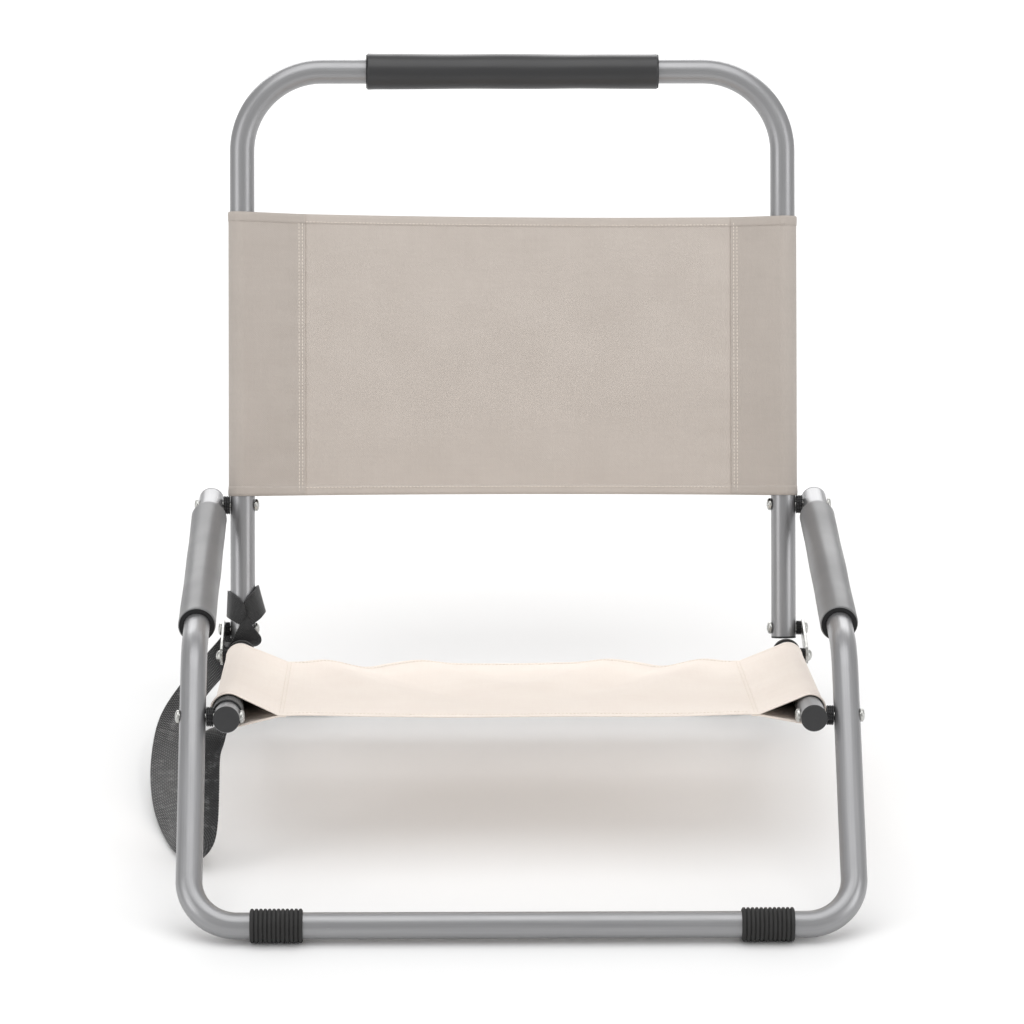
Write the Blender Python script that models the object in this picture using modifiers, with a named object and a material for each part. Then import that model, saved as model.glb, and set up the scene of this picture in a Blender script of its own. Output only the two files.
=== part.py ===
"""Low folding camp chair: three bent-tube frames, a fabric back and seat, two links and a strap.

Units are metres. +Z is up, the sitter faces -Y and +X is the right-hand side seen from the front.
The origin is on the ground, at the middle of the chair's bounding box.

The front frame (legs and arms in one bent tube) is fixed. The back frame turns about the rear
ends of the arms, the seat frame turns about a pin on each front leg, and a flat link on each side
ties the lower end of the back frame to the rear of the seat rail.
"""

import math

import bmesh
import bpy
from mathutils import Matrix, Vector

# Driving dimensions -------------------------------------------------------------------------
TUBE_RADIUS = 0.011
TUBE_WALL = 0.0012
TUBE_SIDES_RESOLUTION = 6
GAP = 0.0003

LEG_X = 0.27175          # middle of a front leg or arm from the centre plane
RAIL_X = 0.24325         # middle of an upright or seat rail from the centre plane
ARM_HEIGHT = 0.182
GROUND_BAR_HEIGHT = 0.014  # the bars on the ground are held up by their rubber feet
ELBOW_Y = 0.182          # where leg and arm would meet, behind the front bar
ARM_PIVOT_Y = 0.525
ARM_END = 0.0135         # the arm tube beyond its pivot
ELBOW_RADIUS = 0.060
FRONT_CORNER_RADIUS = 0.040

RECLINE = math.radians(21.3)
BACK_HEIGHT = 0.3902     # from the arm pivot up to the top bar
LINK_PIVOT_DROP = 0.1112  # from the arm pivot down to the link's upper pivot
UPRIGHT_END = 0.0088     # the upright below that pivot
BACK_CORNER_RADIUS = 0.072

RAIL_SLOPE = math.radians(12.88)
SEAT_PIVOT_Y = 0.1371
RAIL_FRONT = 0.0160      # the rail in front of its pivot
RAIL_LINK_PIN = 0.3042   # from the seat pivot back to the link's lower pin
RAIL_BEND_START = 0.319
RAIL_BEND_RADIUS = 0.035
REAR_LEG_ANGLE = math.radians(78)
REAR_CORNER_RADIUS = 0.028

BOLT_RADIUS = 0.003
BOLT_HOLE_RADIUS = 0.0034
HEAD_RADIUS = 0.0055
HEAD_HEIGHT = 0.0034
PIVOT_WASHER_RADIUS = 0.0085
LINK_WASHER_RADIUS = 0.0066
LINK_THICKNESS = 0.0025
LINK_HALF_WIDTH = 0.0078
LINK_INNER_FACE = 0.0050  # from the upright's side to the link

SLEEVE_RADIUS = 0.0158
SLEEVE_BORE = 0.0115
ARM_SLEEVE_FRONT_Y = 0.236
ARM_SLEEVE_REAR_Y = 0.493
HANDLE_SLEEVE_LENGTH = 0.262
FOOT_RADIUS = 0.014
FOOT_LENGTH = 0.043
FRONT_FOOT_X = 0.200
REAR_FOOT_X = 0.185
PLUG_HEAD = 0.0016
PLUG_DEPTH = 0.004

FABRIC_BORE = 0.0114
FABRIC_LOOP_RADIUS = 0.0123
FABRIC_PANEL = 0.0020
SEAM_OFFSET = 0.048
BACK_FABRIC_LOW = 0.0095
BACK_FABRIC_HIGH = 0.2600
BACK_PANEL_DIP = 0.002
SEAT_FABRIC_FRONT = 0.0285
SEAT_FABRIC_REAR = 0.2955
SEAT_PANEL_DIP = 0.005

STRAP_LOOP_RADIUS = 0.0145
STRAP_CORD_RADIUS = 0.003
UPRIGHT_LOOP = (0.0780, 0.1040)  # along the upright, below the arm pivot
RAIL_LOOP = (0.0110, 0.0230)     # along the rail, behind the seat pivot
BUMPER_RADIUS = 0.0126
BUMPER = (0.3115, 0.3175)        # along the rail, behind the seat pivot

ROUND_STEPS = 20
BOLT_STEPS = 12

# A foot's facets are this far out at their edges, so that their flats are a foot's radius out.
FOOT_FACET_RADIUS = FOOT_RADIUS / math.cos(math.pi / ROUND_STEPS)

# Worked-out places. Y runs back from the front bar until the last shift. --------------------
UP_BACK = Vector((0, math.sin(RECLINE), math.cos(RECLINE)))
ALONG_RAIL = Vector((0, math.cos(RAIL_SLOPE), -math.sin(RAIL_SLOPE)))
LEG_RISE = (ARM_HEIGHT - GROUND_BAR_HEIGHT) / ELBOW_Y
HANDLE_Y = ARM_PIVOT_Y + BACK_HEIGHT * math.sin(RECLINE)
ORIGIN_Y = (HANDLE_Y + SLEEVE_RADIUS - FOOT_RADIUS) / 2


def place(x, y, z):
    """A point given by its distance behind the front bar, in the chair's own frame."""
    return Vector((x, y - ORIGIN_Y, z))


ARM_PIVOT = place(0, ARM_PIVOT_Y, ARM_HEIGHT)
SEAT_PIVOT = place(0, SEAT_PIVOT_Y, GROUND_BAR_HEIGHT + LEG_RISE * SEAT_PIVOT_Y)
LINK_PIVOT = ARM_PIVOT - UP_BACK * LINK_PIVOT_DROP
RAIL_PIN = SEAT_PIVOT + ALONG_RAIL * RAIL_LINK_PIN

FINISHES = {
    "painted_tube": ((0.52, 0.53, 0.54), 0.35, 0.6),
    "sleeve_foam": ((0.10, 0.10, 0.105), 0.55, 0.0),
    "black_plastic": ((0.03, 0.03, 0.032), 0.45, 0.0),
    "black_rubber": ((0.025, 0.025, 0.025), 0.8, 0.0),
    "zinc_steel": ((0.70, 0.70, 0.69), 0.3, 1.0),
    "back_cloth": ((0.53, 0.47, 0.41), 0.9, 0.0),
    "seat_cloth": ((0.80, 0.73, 0.64), 0.9, 0.0),
    "strap_webbing": ((0.02, 0.02, 0.02), 0.8, 0.0),
}


# Scene helpers ------------------------------------------------------------------------------
def empty_scene():
    """Removes every object, so that the file holds only the chair."""
    for old in list(bpy.data.objects):
        bpy.data.objects.remove(old, do_unlink=True)


def new_collection(name):
    collection = bpy.data.collections.new(name)
    bpy.context.scene.collection.children.link(collection)
    return collection


def finish_of(slot):
    """The Principled material of a slot, made the first time it is asked for."""
    material = bpy.data.materials.get(slot)
    if material is None:
        colour, roughness, metallic = FINISHES[slot]
        material = bpy.data.materials.new(slot)
        material.use_nodes = True
        shader = material.node_tree.nodes["Principled BSDF"]
        shader.inputs["Base Color"].default_value = (*colour, 1)
        shader.inputs["Roughness"].default_value = roughness
        shader.inputs["Metallic"].default_value = metallic
    return material


def new_axis(name, point, parent=None):
    """An empty on a joint's axis, which carries the pieces that turn about it."""
    axis = bpy.data.objects.new(name, None)
    axis.empty_display_size = 0.03
    axis.location = point if parent is None else point - parent.location
    axis.parent = parent
    CHAIR.objects.link(axis)
    return axis


def world_place(carrier):
    """Where an empty stands, summed up through its parents."""
    point = Vector((0, 0, 0))
    while carrier is not None:
        point += carrier.location
        carrier = carrier.parent
    return point


def finish_piece(piece, slot, carrier, location, rotation=None):
    """Gives a piece its material, its place and the axis that carries it."""
    piece.data.materials.append(finish_of(slot))
    piece.location = location - world_place(carrier)
    if rotation is not None:
        piece.rotation_euler = rotation
    piece.parent = carrier
    CHAIR.objects.link(piece)
    if piece.type == "MESH":
        piece.data.shade_smooth()
    return piece


# Shapes -------------------------------------------------------------------------------------
def rounded_path(corners, radii, steps):
    """Points along a line through the corners, with an arc of its own radius at each bend."""
    path = [corners[0]]
    for before, corner, after, radius in zip(corners, corners[1:], corners[2:], radii):
        ahead = (corner - before).normalized()
        turned = (after - corner).normalized()
        angle = ahead.angle(turned)
        inward = (turned - ahead * ahead.dot(turned)).normalized()
        start = corner - ahead * radius * math.tan(angle / 2)
        for step in range(steps + 1):
            turn = angle * step / steps
            sideways = inward * radius * (1 - math.cos(turn))
            path.append(start + ahead * radius * math.sin(turn) + sideways)
    path.append(corners[-1])
    return path


def smooth_path(points, pieces):
    """Points on a Catmull-Rom curve through the given points."""
    ends = [points[0] * 2 - points[1], *points, points[-1] * 2 - points[-2]]
    path = []
    for a, b, c, d in zip(ends, ends[1:], ends[2:], ends[3:]):
        for step in range(pieces):
            t = step / pieces
            path.append(
                0.5 * (2 * b + (c - a) * t + (2 * a - 5 * b + 4 * c - d) * t**2
                       + (3 * b - a - 3 * c + d) * t**3)
            )
    path.append(points[-1])
    return path


def swept_curve(name, path, radius, resolution, caps):
    """A curve object of round section along the path."""
    curve = bpy.data.curves.new(name, "CURVE")
    curve.dimensions = "3D"
    curve.bevel_depth = radius
    curve.bevel_resolution = resolution
    curve.use_fill_caps = caps
    spline = curve.splines.new("POLY")
    spline.points.add(len(path) - 1)
    for spline_point, point in zip(spline.points, path):
        spline_point.co = (*point, 1)
    return bpy.data.objects.new(name, curve)


def hollow_tube(name, slot, carrier, origin, path):
    """A bent tube with a real wall, open at both ends."""
    guide = swept_curve(
        name + "_guide", [p - origin for p in path], TUBE_RADIUS, TUBE_SIDES_RESOLUTION, False
    )
    CUTTERS.objects.link(guide)
    evaluated = guide.evaluated_get(bpy.context.evaluated_depsgraph_get())
    mesh = bpy.data.meshes.new_from_object(evaluated)
    mesh.name = name
    bpy.data.objects.remove(guide)
    tube = bpy.data.objects.new(name, mesh)
    wall = tube.modifiers.new("wall", "SOLIDIFY")
    wall.thickness = TUBE_WALL
    wall.offset = -1
    wall.use_even_offset = True
    return finish_piece(tube, slot, carrier, origin)


def turned_mesh(name, profile, steps):
    """A Screw of a closed profile of (radius, height) points about the local Z axis."""
    mesh = bpy.data.meshes.new(name)
    shape = bmesh.new()
    points = [shape.verts.new((radius, 0, height)) for radius, height in profile]
    closed = profile[0][0] > 0 and profile[-1][0] > 0
    for start, end in zip(points, points[1:] + points[:1] if closed else points[1:]):
        shape.edges.new((start, end))
    shape.to_mesh(mesh)
    shape.free()
    piece = bpy.data.objects.new(name, mesh)
    screw = piece.modifiers.new("turn", "SCREW")
    screw.steps = steps
    screw.render_steps = steps
    screw.use_merge_vertices = True
    screw.merge_threshold = 0.00001
    return piece


def along(direction):
    """The rotation that takes the local Z axis to a direction."""
    return direction.to_track_quat("Z", "Y").to_euler()


def ring(name, slot, carrier, centre, direction, bore, outside, length, edge=0.0):
    """A sleeve or washer around an axis, with its outer edges cut back by edge.

    It is turned by half a facet, so that one facet faces straight down.
    """
    half = length / 2
    profile = [(outside, half - edge), (outside, edge - half), (outside - edge, -half),
               (bore, -half), (bore, half), (outside - edge, half)]
    if edge == 0:
        profile = [(outside, half), (outside, -half), (bore, -half), (bore, half)]
    piece = turned_mesh(name, profile, ROUND_STEPS)
    half_facet = Matrix.Rotation(math.pi / ROUND_STEPS, 3, "Z")
    turn = (along(direction).to_matrix() @ half_facet).to_euler()
    return finish_piece(piece, slot, carrier, centre, turn)


def bolt(name, carrier, head_face, direction, shank_length):
    """A round-head bolt: the head's flat is at head_face and the shank runs along direction."""
    profile = [
        (0, HEAD_HEIGHT), (HEAD_RADIUS * 0.6, HEAD_HEIGHT * 0.9),
        (HEAD_RADIUS * 0.93, HEAD_HEIGHT * 0.5), (HEAD_RADIUS, 0),
        (BOLT_RADIUS, 0), (BOLT_RADIUS, -shank_length), (0, -shank_length),
    ]
    piece = turned_mesh(name, profile, BOLT_STEPS)
    return finish_piece(piece, "zinc_steel", carrier, head_face, along(-direction))


def dome_nut(name, carrier, face, direction):
    """A low domed nut whose flat is at face and whose blind hole takes the end of the shank."""
    depth = HEAD_HEIGHT * 0.55
    profile = [
        (0, HEAD_HEIGHT), (HEAD_RADIUS * 0.6, HEAD_HEIGHT * 0.9),
        (HEAD_RADIUS * 0.93, HEAD_HEIGHT * 0.5), (HEAD_RADIUS, 0),
        (BOLT_HOLE_RADIUS, 0), (BOLT_HOLE_RADIUS, depth), (0, depth),
    ]
    piece = turned_mesh(name, profile, BOLT_STEPS)
    return finish_piece(piece, "zinc_steel", carrier, face, along(direction))


def end_plug(name, slot, carrier, tube_end, direction):
    """A plug for an open tube end: a low dome outside and a shank inside the bore."""
    shank = TUBE_RADIUS - TUBE_WALL - 2 * GAP
    profile = [
        (0, PLUG_HEAD + GAP), (TUBE_RADIUS * 0.75, PLUG_HEAD * 0.85), (TUBE_RADIUS, PLUG_HEAD * 0.4),
        (TUBE_RADIUS, GAP), (shank, GAP), (shank, -PLUG_DEPTH), (0, -PLUG_DEPTH),
    ]
    piece = turned_mesh(name, profile, ROUND_STEPS)
    return finish_piece(piece, slot, carrier, tube_end, along(direction))


def bolt_hole(name, centre, length):
    """A cutter along X for a bolt hole."""
    mesh = bpy.data.meshes.new(name)
    shape = bmesh.new()
    bmesh.ops.create_cone(
        shape, cap_ends=True, segments=BOLT_STEPS, radius1=BOLT_HOLE_RADIUS,
        radius2=BOLT_HOLE_RADIUS, depth=length, matrix=Matrix.Rotation(math.pi / 2, 4, "Y"),
    )
    shape.to_mesh(mesh)
    shape.free()
    cutter = bpy.data.objects.new(name, mesh)
    cutter.location = centre
    cutter.hide_render = True
    cutter.display_type = "WIRE"
    CUTTERS.objects.link(cutter)
    return cutter


def cut(piece, cutter):
    boolean = piece.modifiers.new(cutter.name, "BOOLEAN")
    boolean.operation = "DIFFERENCE"
    boolean.object = cutter


def sling_outline(dip):
    """The closed outline of a fabric panel whose two edges loop round the tubes.

    It lies in the local XY plane: X runs across the chair and +Y is behind or below the panel.
    """
    seam_x = RAIL_X - SEAM_OFFSET
    reach = math.hypot(SEAM_OFFSET, dip)
    to_seam = math.atan2(dip, -SEAM_OFFSET)
    open_angle = math.acos(FABRIC_LOOP_RADIUS / reach)
    first, last = to_seam + open_angle, to_seam - open_angle + 2 * math.pi
    right_loop = []
    for step in range(ROUND_STEPS + 1):
        angle = first + (last - first) * step / ROUND_STEPS
        right_loop.append(
            (RAIL_X + FABRIC_LOOP_RADIUS * math.cos(angle), FABRIC_LOOP_RADIUS * math.sin(angle))
        )
    half = FABRIC_PANEL / 2
    right_side = [(seam_x, dip - half), *right_loop, (seam_x, dip + half)]
    left_side = [(-x, y) for x, y in reversed(right_side)]
    return right_side + left_side


def sling(name, slot, carrier, origin, start, length, tilt, dip):
    """A fabric panel of even section, with a sleeve on each tube."""
    curve = bpy.data.curves.new(name, "CURVE")
    curve.dimensions = "2D"
    curve.fill_mode = "BOTH"
    curve.extrude = length / 2
    outlines = [sling_outline(dip)]
    for side in (-1, 1):
        outlines.append([
            (side * RAIL_X + FABRIC_BORE * math.cos(2 * math.pi * step / ROUND_STEPS),
             FABRIC_BORE * math.sin(2 * math.pi * step / ROUND_STEPS))
            for step in range(ROUND_STEPS)
        ])
    for outline in outlines:
        spline = curve.splines.new("POLY")
        spline.points.add(len(outline) - 1)
        spline.use_cyclic_u = True
        for spline_point, (x, y) in zip(spline.points, outline):
            spline_point.co = (x, y, 0, 1)
    piece = bpy.data.objects.new(name, curve)
    centre = start + Matrix.Rotation(tilt, 3, "X") @ Vector((0, 0, length / 2))
    return finish_piece(piece, slot, carrier, centre, (tilt, 0, 0))


# Sub-assemblies -----------------------------------------------------------------------------
def sides():
    """The name and sign of each side of the chair."""
    return (("left", -1), ("right", 1))


def build_front_frame(body):
    """Front bar, legs and arms in one tube, with its grips, feet and pivot bolts."""
    half = [
        place(LEG_X, ARM_PIVOT_Y + ARM_END, ARM_HEIGHT),
        place(LEG_X, ELBOW_Y, ARM_HEIGHT),
        place(LEG_X, 0, GROUND_BAR_HEIGHT),
    ]
    mirrored = [Vector((-p.x, p.y, p.z)) for p in reversed(half)]
    radii = [ELBOW_RADIUS, FRONT_CORNER_RADIUS, FRONT_CORNER_RADIUS, ELBOW_RADIUS]
    path = rounded_path(half + mirrored, radii, 6)
    tube = hollow_tube("front_frame_tube", "painted_tube", body, Vector((0, 0, 0)), path)
    sleeve_length = ARM_SLEEVE_REAR_Y - ARM_SLEEVE_FRONT_Y
    sleeve_middle = (ARM_SLEEVE_REAR_Y + ARM_SLEEVE_FRONT_Y) / 2
    for side, sign in sides():
        ring(f"arm_sleeve_{side}", "sleeve_foam", body,
             place(sign * LEG_X, sleeve_middle, ARM_HEIGHT), Vector((0, 1, 0)),
             SLEEVE_BORE, SLEEVE_RADIUS, sleeve_length, 0.001)
        end_plug(f"arm_end_plug_{side}", "black_plastic", body,
                 place(sign * LEG_X, ARM_PIVOT_Y + ARM_END, ARM_HEIGHT), Vector((0, 1, 0)))
        ring(f"front_foot_{side}", "black_rubber", body,
             place(sign * FRONT_FOOT_X, 0, GROUND_BAR_HEIGHT), Vector((1, 0, 0)),
             SLEEVE_BORE, FOOT_FACET_RADIUS, FOOT_LENGTH, 0.001)
        for pivot, spot in (("arm", ARM_PIVOT), ("seat", SEAT_PIVOT)):
            across = Vector((sign, 0, 0))
            hole = bolt_hole(f"{pivot}_hole_{side}", spot + across * LEG_X, 0.04)
            cut(tube, hole)
            washer_middle = (LEG_X + RAIL_X) / 2
            ring(f"{pivot}_pivot_washer_{side}", "black_plastic", body, spot + across * washer_middle,
                 across, BOLT_HOLE_RADIUS, PIVOT_WASHER_RADIUS,
                 LEG_X - RAIL_X - 2 * TUBE_RADIUS - 2 * GAP, 0.0006)
            head_face = RAIL_X - TUBE_RADIUS - GAP
            nut_face = LEG_X + TUBE_RADIUS + GAP
            shank_length = nut_face - head_face + HEAD_HEIGHT * 0.3
            bolt(f"{pivot}_pivot_bolt_{side}", body, spot + across * head_face, across, shank_length)
            dome_nut(f"{pivot}_pivot_nut_{side}", body, spot + across * nut_face, across)


def build_back_frame(body):
    """The upright hoop with its handle grip, fabric, end plugs and link bolts."""
    lower_end = LINK_PIVOT - UP_BACK * UPRIGHT_END
    top = ARM_PIVOT + UP_BACK * BACK_HEIGHT
    right = Vector((RAIL_X, 0, 0))
    corners = [lower_end - right, top - right, top + right, lower_end + right]
    path = rounded_path(corners, [BACK_CORNER_RADIUS] * 2, 8)
    tube = hollow_tube("back_frame_tube", "painted_tube", body, ARM_PIVOT, path)
    ring("handle_sleeve", "sleeve_foam", body, top, Vector((1, 0, 0)),
         SLEEVE_BORE, SLEEVE_RADIUS, HANDLE_SLEEVE_LENGTH, 0.001)
    sling("back_fabric", "back_cloth", body, ARM_PIVOT, ARM_PIVOT + UP_BACK * BACK_FABRIC_LOW,
          BACK_FABRIC_HIGH - BACK_FABRIC_LOW, -RECLINE, BACK_PANEL_DIP)
    for side, sign in sides():
        across = Vector((sign, 0, 0))
        end_plug(f"upright_end_plug_{side}", "black_plastic", body,
                 lower_end + across * RAIL_X, -UP_BACK)
        cut(tube, bolt_hole(f"upright_arm_hole_{side}", ARM_PIVOT + across * RAIL_X, 0.04))
        cut(tube, bolt_hole(f"upright_link_hole_{side}", LINK_PIVOT + across * RAIL_X, 0.04))
        outside = RAIL_X + TUBE_RADIUS
        ring(f"link_upper_washer_{side}", "black_plastic", body,
             LINK_PIVOT + across * (outside + LINK_INNER_FACE / 2), across,
             BOLT_HOLE_RADIUS, LINK_WASHER_RADIUS, LINK_INNER_FACE - 2 * GAP, 0.0005)
        head_face = RAIL_X - TUBE_RADIUS - GAP
        nut_face = outside + LINK_INNER_FACE + LINK_THICKNESS + GAP
        bolt(f"link_bolt_{side}", body, LINK_PIVOT + across * head_face, across,
             nut_face - head_face + HEAD_HEIGHT * 0.3)
        dome_nut(f"link_nut_{side}", body, LINK_PIVOT + across * nut_face, across)
    loop_low, loop_high = UPRIGHT_LOOP
    ring("strap_upright_loop", "strap_webbing", body,
         ARM_PIVOT - UP_BACK * (loop_low + loop_high) / 2 - right, UP_BACK,
         SLEEVE_BORE, STRAP_LOOP_RADIUS, loop_high - loop_low)


def build_seat_frame(body):
    """The two seat rails, which bend down at the rear to a bar on the ground."""
    slope_to_leg = REAR_LEG_ANGLE - RAIL_SLOPE
    bend_corner = SEAT_PIVOT + ALONG_RAIL * (
        RAIL_BEND_START + RAIL_BEND_RADIUS * math.tan(slope_to_leg / 2)
    )
    drop = bend_corner.z - GROUND_BAR_HEIGHT
    ground_corner = bend_corner + Vector((0, drop / math.tan(REAR_LEG_ANGLE), -drop))
    front_end = SEAT_PIVOT - ALONG_RAIL * RAIL_FRONT
    half = [Vector((RAIL_X, p.y, p.z)) for p in (front_end, bend_corner, ground_corner)]
    mirrored = [Vector((-p.x, p.y, p.z)) for p in reversed(half)]
    radii = [RAIL_BEND_RADIUS, REAR_CORNER_RADIUS, REAR_CORNER_RADIUS, RAIL_BEND_RADIUS]
    path = rounded_path(half + mirrored, radii, 6)
    tube = hollow_tube("seat_frame_tube", "painted_tube", body, SEAT_PIVOT, path)
    sling("seat_fabric", "seat_cloth", body, SEAT_PIVOT,
          SEAT_PIVOT + ALONG_RAIL * SEAT_FABRIC_FRONT, SEAT_FABRIC_REAR - SEAT_FABRIC_FRONT,
          -math.pi / 2 - RAIL_SLOPE, SEAT_PANEL_DIP)
    bumper_front, bumper_rear = BUMPER
    for side, sign in sides():
        across = Vector((sign, 0, 0))
        end_plug(f"rail_cap_{side}", "black_plastic", body, front_end + across * RAIL_X, -ALONG_RAIL)
        cut(tube, bolt_hole(f"rail_hole_{side}", SEAT_PIVOT + across * RAIL_X, 0.04))
        ring(f"rail_bumper_{side}", "black_rubber", body,
             SEAT_PIVOT + ALONG_RAIL * (bumper_front + bumper_rear) / 2 + across * RAIL_X,
             ALONG_RAIL, SLEEVE_BORE, BUMPER_RADIUS, bumper_rear - bumper_front)
        ring(f"link_lower_washer_{side}", "black_plastic", body,
             RAIL_PIN + across * (RAIL_X + TUBE_RADIUS + LINK_INNER_FACE / 2), across,
             BOLT_HOLE_RADIUS, LINK_WASHER_RADIUS, LINK_INNER_FACE - 2 * GAP, 0.0005)
        ring(f"rear_foot_{side}", "black_rubber", body,
             Vector((sign * REAR_FOOT_X, ground_corner.y, GROUND_BAR_HEIGHT)), Vector((1, 0, 0)),
             SLEEVE_BORE, FOOT_FACET_RADIUS, FOOT_LENGTH, 0.001)
    loop_front, loop_rear = RAIL_LOOP
    ring("strap_rail_loop", "strap_webbing", body,
         SEAT_PIVOT + ALONG_RAIL * (loop_front + loop_rear) / 2 - Vector((RAIL_X, 0, 0)),
         ALONG_RAIL, SLEEVE_BORE, STRAP_LOOP_RADIUS, loop_rear - loop_front)


def build_link(side, sign, axis):
    """The flat link and the rivet that stands in its lower hole."""
    name = f"link_bar_{side}"
    reach = RAIL_PIN - LINK_PIVOT
    length = reach.length
    outline = []
    for centre, first in ((0, math.pi / 2), (length, -math.pi / 2)):
        for step in range(ROUND_STEPS // 2 + 1):
            angle = first + math.pi * step / (ROUND_STEPS // 2)
            outline.append((centre + LINK_HALF_WIDTH * math.cos(angle),
                            LINK_HALF_WIDTH * math.sin(angle)))
    holes = [
        [(centre + BOLT_HOLE_RADIUS * math.cos(2 * math.pi * step / BOLT_STEPS),
          BOLT_HOLE_RADIUS * math.sin(2 * math.pi * step / BOLT_STEPS))
         for step in range(BOLT_STEPS)]
        for centre in (0, length)
    ]
    curve = bpy.data.curves.new(name, "CURVE")
    curve.dimensions = "2D"
    curve.fill_mode = "BOTH"
    curve.extrude = LINK_THICKNESS / 2
    for loop in (outline, *holes):
        spline = curve.splines.new("POLY")
        spline.points.add(len(loop) - 1)
        spline.use_cyclic_u = True
        for spline_point, (x, y) in zip(spline.points, loop):
            spline_point.co = (x, y, 0, 1)
    bar = bpy.data.objects.new(name, curve)
    inner_face = RAIL_X + TUBE_RADIUS + LINK_INNER_FACE
    across = Vector((1, 0, 0))
    forward = reach.normalized()
    turn = Matrix((forward, across.cross(forward), across)).transposed().to_euler()
    finish_piece(bar, "zinc_steel", axis,
                 LINK_PIVOT + across * sign * (inner_face + LINK_THICKNESS / 2), turn)
    outer_face = inner_face + LINK_THICKNESS + GAP
    bolt(f"link_rivet_{side}", axis, RAIL_PIN + across * sign * outer_face,
         -across * sign, LINK_THICKNESS + GAP)


def build_strap(body):
    """The free run of the carry strap, from the left upright to the front of the left rail."""
    route = [
        place(-0.2560, 0.5030, 0.0900), place(-0.2650, 0.5000, 0.0690),
        place(-0.2840, 0.4580, 0.0470), place(-0.3000, 0.4000, 0.0360),
        place(-0.3090, 0.3300, 0.0300), place(-0.3050, 0.2650, 0.0240),
        place(-0.2960, 0.2100, 0.0160), place(-0.2810, 0.1620, 0.0100),
        place(-0.2660, 0.1420, 0.0140), place(-0.2570, 0.1390, 0.0300),
        place(-0.2540, 0.1420, 0.0600), place(-0.2500, 0.1470, 0.0950),
        place(-0.2460, 0.1530, 0.1210),
    ]
    strap = swept_curve("strap_hanging", smooth_path(route, 3), STRAP_CORD_RADIUS, 2, True)
    finish_piece(strap, "strap_webbing", body, Vector((0, 0, 0)))


empty_scene()
CHAIR = new_collection("folding_camp_chair")
CUTTERS = new_collection("cutters")
front_body = new_axis("front_frame_body", Vector((0, 0, 0)))
back_axis = new_axis("back_fold_axis", ARM_PIVOT)
seat_axis = new_axis("seat_fold_axis", SEAT_PIVOT)
build_front_frame(front_body)
build_back_frame(back_axis)
build_seat_frame(seat_axis)
for link_side, link_sign in sides():
    build_link(link_side, link_sign, new_axis(f"link_{link_side}_axis", LINK_PIVOT, back_axis))
build_strap(front_body)
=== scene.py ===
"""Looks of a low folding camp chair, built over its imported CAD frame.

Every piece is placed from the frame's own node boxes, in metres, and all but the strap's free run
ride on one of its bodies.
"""

import logging
import math
from dataclasses import dataclass, field
from enum import Enum
from typing import Callable, Sequence

import bmesh
import bpy
from mathutils import Matrix, Vector, noise


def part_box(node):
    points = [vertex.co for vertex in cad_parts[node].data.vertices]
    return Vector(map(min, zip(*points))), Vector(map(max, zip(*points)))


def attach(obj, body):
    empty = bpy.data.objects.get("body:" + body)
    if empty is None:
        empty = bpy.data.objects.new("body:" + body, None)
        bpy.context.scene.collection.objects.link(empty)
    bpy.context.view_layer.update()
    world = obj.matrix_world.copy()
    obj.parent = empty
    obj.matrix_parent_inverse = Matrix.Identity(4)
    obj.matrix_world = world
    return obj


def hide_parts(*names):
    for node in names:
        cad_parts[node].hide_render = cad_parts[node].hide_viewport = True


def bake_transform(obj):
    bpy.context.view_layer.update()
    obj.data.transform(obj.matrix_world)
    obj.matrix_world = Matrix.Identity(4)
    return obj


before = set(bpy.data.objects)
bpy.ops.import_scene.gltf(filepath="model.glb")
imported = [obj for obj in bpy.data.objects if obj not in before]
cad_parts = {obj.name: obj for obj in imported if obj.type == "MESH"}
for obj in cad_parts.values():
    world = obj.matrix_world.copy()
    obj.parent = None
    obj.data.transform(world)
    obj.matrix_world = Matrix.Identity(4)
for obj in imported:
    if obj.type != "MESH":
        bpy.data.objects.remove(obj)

LOG = logging.getLogger("camp_chair")
MM = 0.001
FULL_TURN = 2 * math.pi
RIGHT = Vector((1, 0, 0))
UP = Vector((0, 0, 1))


class Body(Enum):
    """The CAD bodies that pieces ride on."""

    FRONT = "front_frame"
    BACK = "back_frame"
    SEAT = "seat_frame"
    LINK_LEFT = "link_left"
    LINK_RIGHT = "link_right"


class Side(Enum):
    """The two sides of the chair, seen from the front, with the sign of their X."""

    LEFT = -1
    RIGHT = 1

    @property
    def word(self) -> str:
        """The side's name as the CAD nodes spell it."""
        return self.name.lower()


class Layer(Enum):
    """The side of a tube over which a cloth's main layer passes, as a sign along its normal."""

    ABOVE = -1
    BEHIND = 1


# Finishes -----------------------------------------------------------------------------------
def linear(code: str) -> tuple[float, float, float, float]:
    """Turns an sRGB hex colour into linear RGBA.

    Args:
        code: The colour as six hex digits.

    Returns:
        The linear colour with full alpha.
    """
    parts = [int(code[i:i + 2], 16) / 255 for i in (0, 2, 4)]
    return (*(c / 12.92 if c <= 0.04045 else ((c + 0.055) / 1.055) ** 2.4 for c in parts), 1.0)


def add_node(tree: bpy.types.NodeTree, kind: str, inputs: dict | None = None, **attributes):
    """Adds a node, sets its attributes, and sets or links its inputs.

    Args:
        tree: The node tree it goes in.
        kind: The node's type name.
        inputs: Values or output sockets, by input name or index.
        **attributes: Properties of the node itself.

    Returns:
        The new node.
    """
    node = tree.nodes.new(kind)
    for name, value in attributes.items():
        setattr(node, name, value)
    for key, value in (inputs or {}).items():
        if isinstance(value, bpy.types.NodeSocket):
            tree.links.new(value, node.inputs[key])
        else:
            node.inputs[key].default_value = value
    return node


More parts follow.
